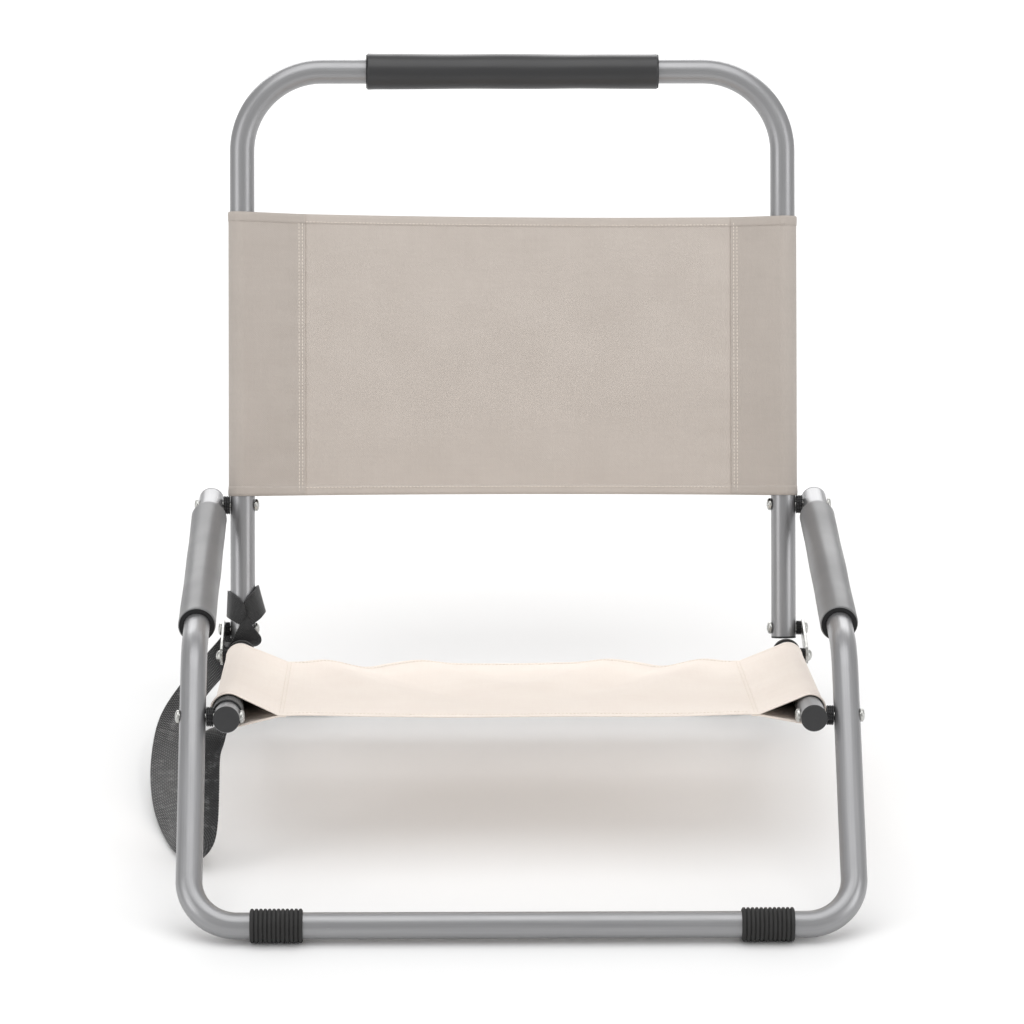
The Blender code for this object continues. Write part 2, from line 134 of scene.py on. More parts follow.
@dataclass(frozen=True)
class Finish:
    """A surface finish: its colours, gloss and fine relief."""

    name: str
    slot: str
    colour: str
    shade: str
    roughness: float
    spread: float = 0.08
    patch: float = 0.03
    grain: float = 0.0008
    relief: float = 0.00004
    metallic: float = 0.0
    sheen: float = 0.0

    def material(self) -> bpy.types.Material:
        """Builds the material, or returns the one already made.

        Returns:
            The node-based material.
        """
        if self.name in bpy.data.materials:
            return bpy.data.materials[self.name]
        material = bpy.data.materials.new(self.name)
        material.use_nodes = True
        tree = material.node_tree
        tree.nodes.clear()
        shader = add_node(tree, "ShaderNodeBsdfPrincipled", {
            "Metallic": self.metallic, "Sheen Weight": self.sheen, "Sheen Roughness": 0.45})
        add_node(tree, "ShaderNodeOutputMaterial", {"Surface": shader.outputs["BSDF"]})
        self.dress(tree, shader)
        return material

    def wire(self, tree: bpy.types.NodeTree, shader: bpy.types.Node, colour: bpy.types.NodeSocket,
             wear: bpy.types.NodeSocket, height: bpy.types.NodeSocket, strength: float) -> None:
        """Feeds the shader its colour, a gloss that varies with wear, and a relief.

        Args:
            tree: The material's node tree.
            shader: Its Principled shader.
            colour: The colour.
            wear: The pattern that spreads the gloss.
            height: The pattern of the relief.
            strength: How strongly the relief shows.
        """
        gloss = add_node(tree, "ShaderNodeMapRange", {
            "Value": wear, "From Min": 0.3, "From Max": 0.7,
            "To Min": self.roughness - self.spread, "To Max": self.roughness + self.spread})
        bump = add_node(tree, "ShaderNodeBump", {
            "Height": height, "Strength": strength, "Distance": self.relief})
        tree.links.new(colour, shader.inputs["Base Color"])
        tree.links.new(gloss.outputs["Result"], shader.inputs["Roughness"])
        tree.links.new(bump.outputs["Normal"], shader.inputs["Normal"])

    def dress(self, tree: bpy.types.NodeTree, shader: bpy.types.Node) -> None:
        """Gives the shader patchy colour, uneven gloss and a fine grain.

        Args:
            tree: The material's node tree.
            shader: Its Principled shader.
        """
        place = add_node(tree, "ShaderNodeTexCoord").outputs["Object"]
        patches = add_node(tree, "ShaderNodeTexNoise",
                           {"Vector": place, "Scale": 1 / self.patch, "Detail": 4.0})
        grain = add_node(tree, "ShaderNodeTexNoise",
                         {"Vector": place, "Scale": 1 / self.grain, "Detail": 2.0})
        colour = add_node(tree, "ShaderNodeMix", {
            0: patches.outputs["Fac"], 6: linear(self.colour), 7: linear(self.shade)},
            data_type="RGBA")
        self.wire(tree, shader, colour.outputs[2], patches.outputs["Fac"],
                  grain.outputs["Fac"], 0.6)


@dataclass(frozen=True)
class CoatedTube(Finish):
    """Satin silver coating on drawn tube: faint lines along it, scuffs and small scratches."""

    streak_width: float = 0.0016
    streak_length: float = 0.12

    def dress(self, tree: bpy.types.NodeTree, shader: bpy.types.Node) -> None:
        """Adds lines that run along the tube, and scuffs, to the coating.

        Args:
            tree: The material's node tree.
            shader: Its Principled shader.
        """
        around = add_node(tree, "ShaderNodeUVMap", uv_map="surface").outputs["UV"]
        place = add_node(tree, "ShaderNodeTexCoord").outputs["Object"]
        stretched = add_node(tree, "ShaderNodeMapping", {
            "Vector": around, "Scale": (1 / self.streak_width, 1 / self.streak_length, 1)})
        streaks = add_node(tree, "ShaderNodeTexNoise",
                           {"Vector": stretched.outputs["Vector"], "Scale": 1.0, "Detail": 3.0})
        patches = add_node(tree, "ShaderNodeTexNoise",
                           {"Vector": place, "Scale": 1 / self.patch, "Detail": 5.0})
        scuffs = add_node(tree, "ShaderNodeTexNoise", {
            "Vector": stretched.outputs["Vector"], "Scale": 0.35, "Detail": 8.0,
            "Roughness": 0.75, "Distortion": 2.5})
        scratch = add_node(tree, "ShaderNodeMapRange", {
            "Value": scuffs.outputs["Fac"], "From Min": 0.66, "From Max": 0.72})
        tone = add_node(tree, "ShaderNodeMix", {
            0: streaks.outputs["Fac"], 6: linear(self.colour), 7: linear(self.shade)},
            data_type="RGBA")
        worn = add_node(tree, "ShaderNodeMix", {
            0: scratch.outputs["Result"], 6: tone.outputs[2], 7: linear("d8d8d6")},
            data_type="RGBA")
        self.wire(tree, shader, worn.outputs[2], patches.outputs["Fac"],
                  streaks.outputs["Fac"], 0.5)


@dataclass(frozen=True)
class Woven(Finish):
    """Cloth or webbing: crossing threads with slubs, and broad uneven dyeing.

    The pitches are in metres across and along the piece. The real threads, about 0.5 mm, are finer
    than a render can show, so they are drawn at 1.6 mm or more. Beyond doubled_left and
    doubled_right, distances from the middle, painted shade darkens the cloth by the share in the
    field after them, for the lesser light that comes through two layers.
    """

    across: float = 0.0016
    along: float = 0.0016
    slub: float = 0.5
    doubled_left: float = 9.0
    doubled_right: float = 9.0
    doubled: float = 0.0

    def dress(self, tree: bpy.types.NodeTree, shader: bpy.types.Node) -> None:
        """Draws the threads as height and tone, with slubs along them.

        Args:
            tree: The material's node tree.
            shader: Its Principled shader.
        """
        cloth = add_node(tree, "ShaderNodeUVMap", uv_map="surface").outputs["UV"]
        split = add_node(tree, "ShaderNodeSeparateXYZ", {"Vector": cloth})
        waves = []
        for output, pitch in (("X", self.across), ("Y", self.along)):
            turn = add_node(tree, "ShaderNodeMath", {
                0: split.outputs[output], 1: FULL_TURN / pitch}, operation="MULTIPLY")
            waves.append(add_node(tree, "ShaderNodeMath", {0: turn.outputs[0]}, operation="SINE"))
        over = add_node(tree, "ShaderNodeMath", {0: waves[0].outputs[0], 1: waves[1].outputs[0]},
                        operation="MULTIPLY")
        slubs = []
        for scale in ((1 / self.across, 40, 1), (40, 1 / self.along, 1)):
            run = add_node(tree, "ShaderNodeMapping", {"Vector": cloth, "Scale": scale})
            slubs.append(add_node(tree, "ShaderNodeTexNoise", {
                "Vector": run.outputs["Vector"], "Scale": 0.6, "Detail": 3.0}))
        thread = add_node(tree, "ShaderNodeMath", {
            0: slubs[0].outputs["Fac"], 1: slubs[1].outputs["Fac"]}, operation="ADD")
        patches = add_node(tree, "ShaderNodeTexNoise", {
            "Vector": cloth, "Scale": 1 / self.patch, "Detail": 5.0})
        mottle = add_node(tree, "ShaderNodeMath", {
            0: thread.outputs[0], 1: self.slub, 2: patches.outputs["Fac"]},
            operation="MULTIPLY_ADD")
        weave = add_node(tree, "ShaderNodeMath", {
            0: over.outputs[0], 1: 0.12, 2: mottle.outputs[0]}, operation="MULTIPLY_ADD")
        factor = add_node(tree, "ShaderNodeMapRange", {
            "Value": weave.outputs[0], "From Min": 0.5, "From Max": 1.5})
        colour = add_node(tree, "ShaderNodeMix", {
            0: factor.outputs["Result"], 6: linear(self.colour), 7: linear(self.shade)},
            data_type="RGBA")
        # Where two layers lie on each other less light comes through: painted shade darkens the
        # cloth there.
        place = add_node(tree, "ShaderNodeTexCoord").outputs["Object"]
        reach = add_node(tree, "ShaderNodeSeparateXYZ", {"Vector": place}).outputs["X"]
        sides = []
        for way, start in ((-1, self.doubled_left), (1, self.doubled_right)):
            sides.append(add_node(tree, "ShaderNodeMapRange", {
                "Value": reach, "From Min": way * start, "From Max": way * (start + 0.0008),
                "To Max": self.doubled}).outputs["Result"])
        layers = add_node(tree, "ShaderNodeMath", {0: sides[0], 1: sides[1]}, operation="ADD")
        colour = add_node(tree, "ShaderNodeMix", {
            0: layers.outputs[0], 6: colour.outputs[2], 7: linear("000000")}, data_type="RGBA")
        height = add_node(tree, "ShaderNodeMath", {
            0: thread.outputs[0], 1: 0.6, 2: over.outputs[0]}, operation="MULTIPLY_ADD")
        self.wire(tree, shader, colour.outputs[2], patches.outputs["Fac"], height.outputs[0], 0.7)


# Satin silver-grey coating, with soft long highlights.
SILVER_COAT = CoatedTube("satin_silver_coated_tube", "painted_tube", "a2a2a3", "8e8e90",
                         0.36, 0.06, 0.06, relief=0.00001, metallic=0.7)
# Dense charcoal foam skin: dull, with a wide soft highlight.
GRIP_FOAM = Finish("charcoal_grip_foam", "sleeve_foam", "303031", "2b2b2c", 0.36, 0.04,
                   0.05, 0.0012, 0.00006)
# The same foam, painted paler for the strong top light that the arm grips catch, with a little
# more roughness.
TOPLIT_GRIP_FOAM = Finish("rubbed_grip_foam", "sleeve_foam", "757576", "6a6a6b", 0.4, 0.05,
                     0.05, 0.0012, 0.00006)
# Cut ends of the foam sleeves, where the open cells swallow the light.
CUT_FOAM = Finish("cut_foam_end", "sleeve_foam", "1b1b1c", "222223", 0.9, 0.05,
                  0.01, 0.0010, 0.00012)
# Moulded black plastic, slightly greyed by handling.
MOULDED_BLACK = Finish("moulded_black_plastic", "black_plastic", "333334", "2a2a2b", 0.5, 0.08,
                       0.02, 0.0009, 0.00003)
# Rubber feet: nearly black, dull and dusty in places.
FOOT_RUBBER = Finish("black_foot_rubber", "black_rubber", "1e1e1e", "2b2a29", 0.75, 0.1,
                     0.012, 0.0011, 0.00005)
# Zinc-plated steel: bright, with cloudy gloss.
ZINC = Finish("zinc_plated_steel", "zinc_steel", "c9c9c6", "b2b2ae", 0.3, 0.08,
              0.006, 0.0009, 0.00001, metallic=1.0)
# Greige polyester cloth of the back: matt, with a faint bloom, and painted shade where its sleeves
# are doubled.
BACK_CLOTH = Woven("greige_woven_cloth", "back_cloth", "c1b8b0", "b7aea6", 0.88, 0.05,
                   0.05, relief=0.00012, sheen=0.15, doubled_left=0.187, doubled_right=0.196,
                   doubled=0.11)
# Cream polyester cloth of the seat: matt and very pale.
SEAT_CLOTH = Woven("cream_woven_cloth", "seat_cloth", "f1e7dd", "eaded4", 0.88, 0.05,
                   0.05, relief=0.00012, sheen=0.15)
# Black polypropylene webbing, with ribs across it that catch the light.
WEBBING = Woven("black_ribbed_webbing", "strap_webbing", "2d2d2e", "151516", 0.5, 0.1,
                0.02, relief=0.0003, sheen=0.2, across=0.0031, along=0.0019, slub=0.8)
# The same webbing where it hangs free, painted grey and mottled: a painted highlight for the light
# its coarse weave catches.
LIT_WEBBING = Woven("greyed_ribbed_webbing", "strap_webbing", "8c8c8c", "1d1d1e", 0.7, 0.1,
                     0.009, relief=0.0004, sheen=0.5, across=0.0036, along=0.0024, slub=1.1)
# Sewing threads, a little paler than the cloth they hold.
BACK_THREAD = Finish("greige_sewing_thread", "back_cloth", "ece4da", "ddd3c7", 0.7, 0.05,
                     0.004, 0.0004, 0.00005, sheen=0.2)
SEAT_THREAD = Finish("cream_sewing_thread", "seat_cloth", "efe5da", "ddd1c4", 0.7, 0.05,
                     0.004, 0.0004, 0.00005, sheen=0.2)
# Pale matt studio floor.
STUDIO_FLOOR = Finish("pale_studio_floor", "", "f4f4f4", "f1f1f1", 0.8, 0.05, 0.9,
                      0.02, 0.0001)


# Mesh tools ---------------------------------------------------------------------------------
def stood(name: str, data: bpy.types.ID) -> bpy.types.Object:
    """A new object of that name and data, linked to the scene."""
    piece = bpy.data.objects.new(name, data)
    bpy.context.scene.collection.objects.link(piece)
    return piece


def loft(name: str, rings: Sequence[Sequence[Vector]], closed: bool = True, caps: bool = True,
         looped: bool = False, crease: float = 38) -> bpy.types.Object:
    """Skins rings of equal length into one mesh, with a surface map in metres.

    Args:
        name: The object's name.
        rings: The rings, in order along the piece.
        closed: Whether each ring closes on itself.
        caps: Whether the first and last ring are filled.
        looped: Whether the last ring joins the first.
        crease: The angle in degrees above which an edge stays sharp.

    Returns:
        The object, linked to the scene.
    """
    mesh = bpy.data.meshes.new(name)
    work = bmesh.new()
    layer = work.loops.layers.uv.new("surface")
    rows = [[work.verts.new(point) for point in ring] for ring in rings]
    count = len(rings[0])
    lengths = [0.0]
    for a, b in zip(rings, list(rings[1:]) + [rings[0]]):
        lengths.append(lengths[-1] + (a[count // 2] - b[count // 2]).length)
    widths = [0.0]
    middle = rings[len(rings) // 2]
    for a, b in zip(middle, list(middle[1:]) + [middle[0]]):
        widths.append(widths[-1] + (a - b).length)
    steps = len(rows) if looped else len(rows) - 1
    for i in range(steps):
        upper, lower = rows[(i + 1) % len(rows)], rows[i]
        for j in range(count if closed else count - 1):
            k = (j + 1) % count
            face = work.faces.new((lower[j], lower[k], upper[k], upper[j]))
            spots = ((widths[j], lengths[i]), (widths[j + 1], lengths[i]),
                     (widths[j + 1], lengths[i + 1]), (widths[j], lengths[i + 1]))
            for corner, spot in zip(face.loops, spots):
                corner[layer].uv = spot
    if caps and closed and not looped:
        for row in (list(reversed(rows[0])), rows[-1]):
            face = work.faces.new(row)
            for corner in face.loops:
                corner[layer].uv = (corner.vert.co.x, corner.vert.co.z)
    bmesh.ops.recalc_face_normals(work, faces=work.faces)
    work.to_mesh(mesh)
    work.free()
    mesh.shade_smooth()
    mesh.set_sharp_from_angle(angle=math.radians(crease))
    return stood(name, mesh)


def bent_path(corners: Sequence[Vector], radii: Sequence[float], steps: int) -> list[Vector]:
    """Points along a line through corners, with an arc of its own radius at each bend.

    Args:
        corners: The ends and the corners between them.
        radii: One radius for each inner corner.
        steps: The number of steps in each bend.

    Returns:
        The points, with straight runs divided as well.
    """
    turns = [corners[0]]
    for before, corner, after, radius in zip(corners, corners[1:], corners[2:], radii):
        ahead = (corner - before).normalized()
        onward = (after - corner).normalized()
        angle = ahead.angle(onward)
        inward = (onward - ahead * ahead.dot(onward)).normalized()
        start = corner - ahead * radius * math.tan(angle / 2)
        for step in range(steps + 1):
            turn = angle * step / steps
            turns.append(start + ahead * radius * math.sin(turn)
                         + inward * radius * (1 - math.cos(turn)))
    turns.append(corners[-1])
    path = [turns[0]]
    for a, b in zip(turns, turns[1:]):
        parts = max(1, round((b - a).length / 0.03))
        path += [a.lerp(b, (i + 1) / parts) for i in range(parts)]
    return path


def smooth_path(points: Sequence[Vector], pieces: int) -> list[Vector]:
    """Points on a Catmull-Rom curve.

    Args:
        points: The points that the curve passes through.
        pieces: The number of steps between two of them.

    Returns:
        The points of the curve, both ends included.
    """
    ends = [points[0] * 2 - points[1], *points, points[-1] * 2 - points[-2]]
    path = []
    for a, b, c, d in zip(ends, ends[1:], ends[2:], ends[3:]):
        for step in range(pieces):
            t = step / pieces
            path.append(0.5 * (2 * b + (c - a) * t + (2 * a - 5 * b + 4 * c - d) * t**2
                               + (3 * b - a - 3 * c + d) * t**3))
    return path + [Vector(points[-1])]


def carried_frames(path: Sequence[Vector]) -> list[tuple[Vector, Vector]]:
    """Two directions square to a path at each of its points, turning as little as they can.

    Args:
        path: The path's points.

    Returns:
        A pair of unit vectors for each point.
    """
    frames = []
    side = None
    for i, point in enumerate(path):
        ahead = (path[min(i + 1, len(path) - 1)] - path[max(i - 1, 0)]).normalized()
        if side is None:
            side = ahead.orthogonal()
        side = (side - ahead * side.dot(ahead)).normalized()
        frames.append((side, ahead.cross(side)))
    return frames


def circle(centre: Vector, side: Vector, other: Vector, radius: float, count: int) -> list[Vector]:
    """Evenly spaced points on a circle.

    Args:
        centre: Its middle.
        side: The direction of the first point.
        other: The direction a quarter turn on.
        radius: Its radius.
        count: The number of points.

    Returns:
        The points.
    """
    return [centre + (side * math.cos(FULL_TURN * i / count)
                      + other * math.sin(FULL_TURN * i / count)) * radius for i in range(count)]


def turned(name: str, centre: Vector, axis: Vector, profile: Sequence[tuple[float, float]],
           sides: int = 32, teeth: int = 0, bite: float = 0.0,
           looped: bool = False) -> bpy.types.Object:
    """A turned piece, with optional teeth round its rim.

    Args:
        name: The object's name.
        centre: The point where the profile's length is zero.
        axis: The direction in which it grows.
        profile: Pairs of length along the axis and radius.
        sides: The number of points round it.
        teeth: The number of teeth, or 0.
        bite: The depth of a tooth.
        looped: Whether the profile closes on itself, as on a ring.

    Returns:
        The object.
    """
    axis = axis.normalized()
    side = axis.orthogonal().normalized()
    other = axis.cross(side)
    rings = []
    for along, radius in profile:
        ring = []
        for i in range(sides):
            angle = FULL_TURN * i / sides
            reach = radius - (bite if teeth and math.sin(angle * teeth) < 0 else 0)
            ring.append(centre + axis * along
                        + (side * math.cos(angle) + other * math.sin(angle)) * reach)
        rings.append(ring)
    return loft(name, rings, looped=looped, crease=30)


def tube_mesh(name: str, path: Sequence[Vector], radius: float, wall: float,
              sides: int = 40) -> bpy.types.Object:
    """A smooth bent tube, with its wall showing a little way in at each end.

    Args:
        name: The object's name.
        path: Its centre line.
        radius: Its outer radius.
        wall: Its wall thickness.
        sides: The number of points round it.

    Returns:
        The object.
    """
    frames = carried_frames(path)
    bore, rim, seen = radius - wall, radius - 0.3 * MM, 4 * MM
    inward = (path[1] - path[0]).normalized() * seen
    stations = [(path[0] + inward, frames[0], bore), (path[0], frames[0], bore),
                (path[0], frames[0], rim)]
    stations += [(point, frame_here, radius) for point, frame_here in zip(path, frames)]
    inward = (path[-2] - path[-1]).normalized() * seen
    stations += [(path[-1], frames[-1], rim), (path[-1], frames[-1], bore),
                 (path[-1] + inward, frames[-1], bore)]
    rings = [circle(centre, side, other, reach, sides)
             for centre, (side, other), reach in stations]
    return loft(name, rings)


def band_mesh(name: str, path: Sequence[Vector], across: Sequence[Vector], width: float,
              thickness: float) -> bpy.types.Object:
    """A flat woven band along a path, with rounded selvedges.

    Args:
        name: The object's name.
        path: Its centre line.
        across: The direction of its width at each point of the path.
        width: The band's width.
        thickness: The band's thickness.

    Returns:
        The object.
    """
    half, thick = width / 2, thickness / 2
    top = [(-half, 0.0), (-half + 0.5 * MM, thick * 1.15), (-half + 1.6 * MM, thick * 1.15),
           (-half * 0.8, thick), (-half * 0.4, thick), (0, thick), (half * 0.4, thick),
           (half * 0.8, thick), (half - 1.6 * MM, thick * 1.15), (half - 0.5 * MM, thick * 1.15)]
    outline = top + [(-x, -y) for x, y in top]
    rings = []
    for i, point in enumerate(path):
        ahead = (path[min(i + 1, len(path) - 1)] - path[max(i - 1, 0)]).normalized()
        side = (across[i] - ahead * across[i].dot(ahead)).normalized()
        out = ahead.cross(side)
        rings.append([point + side * x + out * y for x, y in outline])
    return loft(name, rings, crease=60)


def thread_run(name: str, path: Sequence[Vector], pitch: float,
               thickness: float) -> bpy.types.Object:
    """A row of stitches: short thread lengths that dip into the cloth at both ends.

    Args:
        name: The object's name.
        path: The line of the row, closely spaced.
        pitch: The length of one stitch.
        thickness: The thread's diameter.

    Returns:
        The object, one mesh of all the stitches.
    """
    reach = [0.0]
    for a, b in zip(path, path[1:]):
        reach.append(reach[-1] + (b - a).length)

    def spot(length: float) -> Vector:
        """The point of the row at a length from its start."""
        for i in range(len(path) - 1):
            if length <= reach[i + 1] or i == len(path) - 2:
                span = max(reach[i + 1] - reach[i], 1e-9)
                return path[i].lerp(path[i + 1], (length - reach[i]) / span)
        return path[-1]

    mesh = bpy.data.meshes.new(name)
    work = bmesh.new()
    for index in range(int(reach[-1] / pitch)):
        start, end = spot(index * pitch + 0.15 * pitch), spot((index + 1) * pitch - 0.1 * pitch)
        ahead = (end - start).normalized()
        side = ahead.orthogonal().normalized()
        other = ahead.cross(side)
        rows = []
        for t, size in ((0, 0.35), (0.15, 0.85), (0.5, 1.0), (0.85, 0.85), (1, 0.35)):
            rows.append([work.verts.new(
                start.lerp(end, t) + (side * math.cos(k * math.pi / 3)
                                      + other * math.sin(k * math.pi / 3)) * size * thickness / 2)
                for k in range(6)])
        for low, high in zip(rows, rows[1:]):
            for k in range(6):
                work.faces.new((low[k], low[(k + 1) % 6], high[(k + 1) % 6], high[k]))
        work.faces.new(list(reversed(rows[0])))
        work.faces.new(rows[-1])
    work.to_mesh(mesh)
    work.free()
    mesh.shade_smooth()
    return stood(name, mesh)


def thicken(piece: bpy.types.Object, thickness: float) -> None:
    """Gives an open cloth mesh a real thickness, and keeps the result as its mesh.

    Args:
        piece: The cloth.
        thickness: Its thickness, half on each side of the surface.
    """
    solid = piece.modifiers.new("thickness", "SOLIDIFY")
    solid.thickness, solid.offset, solid.use_even_offset = thickness, 0.0, True
    bpy.context.view_layer.update()
    graph = bpy.context.evaluated_depsgraph_get()
    made = bpy.data.meshes.new_from_object(piece.evaluated_get(graph))
    piece.modifiers.clear()
    piece.data = made
    made.shade_smooth()
    made.set_sharp_from_angle(angle=math.radians(60))


def dress(piece: bpy.types.Object, finish: Finish, body: Body | None,
          *nodes: str) -> bpy.types.Object:
    """Gives a piece its finish, its body and the CAD nodes that it stands for.

    Args:
        piece: The piece.
        finish: Its finish.
        body: The body it rides on, or None to leave it unattached.
        *nodes: The CAD nodes it replaces.

    Returns:
        The same piece.
    """
    piece.data.materials.clear()
    piece.data.materials.append(finish.material())
    if body is not None:
        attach(piece, body.value)
    if nodes:
        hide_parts(*nodes)
    LOG.info("%s: %s", piece.name, finish.name)
    return piece


def middle(node: str) -> Vector:
    """The middle of a CAD node's box."""
    low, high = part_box(node)
    return (low + high) / 2


# The seat's folds: where each starts at the rear and ends at the front, as shares of the half
# width, its depth in mm and its spread.
FOLDS = ((0.86, 0.30, -3.6, 0.075), (0.66, 0.02, 3.8, 0.085), (0.42, -0.30, -2.8, 0.09),
         (0.99, 0.62, 2.0, 0.05))


# Where things are ---------------------------------------------------------------------------
@dataclass(frozen=True)
class Layout:
    """The chair's own axes and pivots, read from the CAD nodes' boxes."""

    tube_radius: float = 11 * MM
    tube_wall: float = 1.2 * MM
    leg_x: float = field(default_factory=lambda: middle("arm_sleeve_right").x)
    rail_x: float = field(default_factory=lambda: middle("upright_end_plug_right").x)
    arm_pivot: Vector = field(default_factory=lambda: middle("arm_pivot_washer_right"))
    seat_pivot: Vector = field(default_factory=lambda: middle("seat_pivot_washer_right"))
    link_pivot: Vector = field(default_factory=lambda: middle("link_upper_washer_right"))
    rail_pin: Vector = field(default_factory=lambda: middle("link_lower_washer_right"))
    top_bar: Vector = field(default_factory=lambda: middle("handle_sleeve"))
    front_bar: Vector = field(default_factory=lambda: middle("front_foot_right"))
    rear_bar: Vector = field(default_factory=lambda: middle("rear_foot_right"))

    @staticmethod
    def at(point: Vector, x: float) -> Vector:
        """The same height and depth as a point, at another X."""
        return Vector((x, point.y, point.z))

    @property
    def up_back(self) -> Vector:
        """The direction up the back's uprights."""
        return (self.at(self.top_bar, 0) - self.at(self.arm_pivot, 0)).normalized()

    @property
    def along_rail(self) -> Vector:
        """The direction from the seat's front pivot to the rear, along its rails."""
        return (self.at(self.rail_pin, 0) - self.at(self.seat_pivot, 0)).normalized()


# The two edges of each part of the strap's hitch, in mm right, up and ahead of the link pivot.
HITCH = {
    "strap_lapel_right": (
        ((-7, 31, -14.5), (4, 35, -13.8), (12, 38.3, -8), (13.2, 39, 0), (9.8, 33.5, 9.0),
         (4.4, 27.9, 12.9), (0, 22, 13.4), (-4, 17, 12.8)),
        ((-6, 7, -14.5), (6, 10, -14.4), (17, 13.5, -9), (20, 15.3, 0), (16.0, 9.5, 9.0),
         (8.8, 3.6, 13.2), (3.4, -1, 13.6), (-1, -5, 13.2))),
    "strap_lapel_left": (
        ((6, 29, -12.7), (-4, 32, -12.7), (-11, 34, -6.5), (-12.8, 34, 0), (-8.4, 31, 10.2),
         (-1.8, 26.7, 14.6), (1.8, 21.5, 15.6), (3.4, 13.5, 15.6)),
        ((7, 5, -12.7), (-4, 8, -12.9), (-12, 10.5, -7), (-13.8, 11.2, 0), (-11.6, 9.4, 8.6),
         (-7.7, 7.2, 13.2), (-2.6, 4.6, 15.4), (2.8, 10.0, 15.6))),
    "strap_tail": (
        ((2.2, 14.5, 13.6), (0.8, 9, 15.0), (-1.8, 4.0, 15.6), (-5.0, -1.8, 15.4),
         (-7.8, -8.2, 14.4), (-10.6, -12.8, 12.2), (-13.4, -15.0, 8), (-15.4, -15.4, 1),
         (-16.5, -12.5, -8)),
        ((4.4, 14.5, 13.8), (6.0, 9.0, 15.2), (9.4, 2.9, 15.8), (13.6, -2.6, 14.8),
         (16.8, -7.4, 12), (16.4, -11.6, 8), (12.6, -14.6, 4), (7, -15.2, -2), (2, -14.4, -9))),
}


# The strap ----------------------------------------------------------------------------------
@dataclass
class CarryStrap:
    """The black webbing strap: a knot on the left upright, a free run and a loop on the rail."""

    layout: Layout
    width: float = 25 * MM
    thickness: float = 1.7 * MM
    # Middle of the free run: X, distance behind the front bar, Z. Close to its CAD solid's route.
    route: tuple[tuple[float, float, float], ...] = (
        (-0.2456, 0.5003, 0.0671), (-0.2573, 0.4943, 0.0539), (-0.2699, 0.4693, 0.0477),
        (-0.2844, 0.4293, 0.0441), (-0.3018, 0.3793, 0.0326), (-0.3061, 0.3193, 0.0203),
        (-0.3021, 0.2593, 0.0128), (-0.2936, 0.2143, 0.0090), (-0.2812, 0.1693, 0.0112),
        (-0.2705, 0.1423, 0.0197), (-0.2642, 0.1378, 0.0345), (-0.2632, 0.1393, 0.0732),
        (-0.2616, 0.1443, 0.1020), (-0.2560, 0.1510, 0.1140), (-0.2480, 0.1570, 0.1212),
        (-0.2390, 0.1594, 0.1228))
    # The direction of the band's width at each of those points.
    lie: tuple[tuple[float, float, float], ...] = (
        (0.78, -0.22, -0.59), (0.77, -0.23, -0.60), (0.77, -0.23, -0.60), (0.82, -0.20, -0.53),
        (0.94, -0.12, -0.31), (1.0, 0.0, -0.05), (0.80, 0.55, 0.15), (0.45, 0.85, 0.25),
        (0.10, 0.98, 0.15), (-0.35, 0.93, 0.10), (-0.80, 0.60, 0.05), (-0.99, 0.10, 0.04),
        (-0.95, 0.30, 0.12), (-0.62, 0.75, 0.22), (-0.15, 0.98, -0.12), (0.0, 0.975, -0.22))

    def build(self) -> None:
        """Builds the free run, the knot and the rail loop."""
        bar = self.layout.front_bar.y
        points = [Vector((x, y + bar, z)) for x, y, z in self.route]
        path = smooth_path(points, 8)
        across = [v.normalized() for v in smooth_path([Vector(v) for v in self.lie], 8)]
        run = band_mesh("strap_free_run", path, across, self.width, self.thickness)
        # The free run takes the greyed webbing finish: a painted highlight for the light its weave
        # catches.
        run = dress(run, LIT_WEBBING, None, "strap_hanging")
        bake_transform(run)
        knot = self.knot()
        loop = self.rail_loop()

    def knot(self) -> bpy.types.Object:
        """The hitch on the left upright: two lapels with the tail coming out between them.

        Returns:
            The tail, which the lapels ride with.
        """
        up = self.layout.up_back
        ahead = RIGHT.cross(up)
        home = self.layout.at(self.layout.link_pivot, -self.layout.rail_x)
        made = []
        for name, (first, second) in HITCH.items():
            edges = [smooth_path([home + (RIGHT * x + up * y + ahead * z) * MM
                                  for x, y, z in edge], 6) for edge in (first, second)]
            rings = [[a.lerp(b, k / 8) for k in range(9)] for a, b in zip(*edges)]
            piece = loft(name, rings, closed=False, caps=False)
            thicken(piece, self.thickness)
            made.append(dress(piece, WEBBING, Body.BACK))
        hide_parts("strap_upright_loop")
        for piece in made[:-1]:
            world = piece.matrix_world.copy()
            piece.parent = made[-1]
            piece.matrix_world = world
        return made[-1]

    def rail_loop(self) -> bpy.types.Object:
        """The turn of webbing round the front of the left rail.

        Returns:
            The loop.
        """
        along = self.layout.along_rail
        start = self.layout.at(self.layout.seat_pivot, -self.layout.rail_x) + along * 9.5 * MM
        length, inner, outer = 27 * MM, 11.2 * MM, 12.7 * MM
        profile = [(0, inner), (0, outer - 0.4 * MM), (0.5 * MM, outer),
                   (length / 2, outer + 0.1 * MM), (length - 0.5 * MM, outer),
                   (length, outer - 0.4 * MM), (length, inner)]
        loop = turned("strap_rail_wrap", start, along, profile, 48, looped=True)
        return dress(loop, WEBBING, Body.SEAT, "strap_rail_loop")


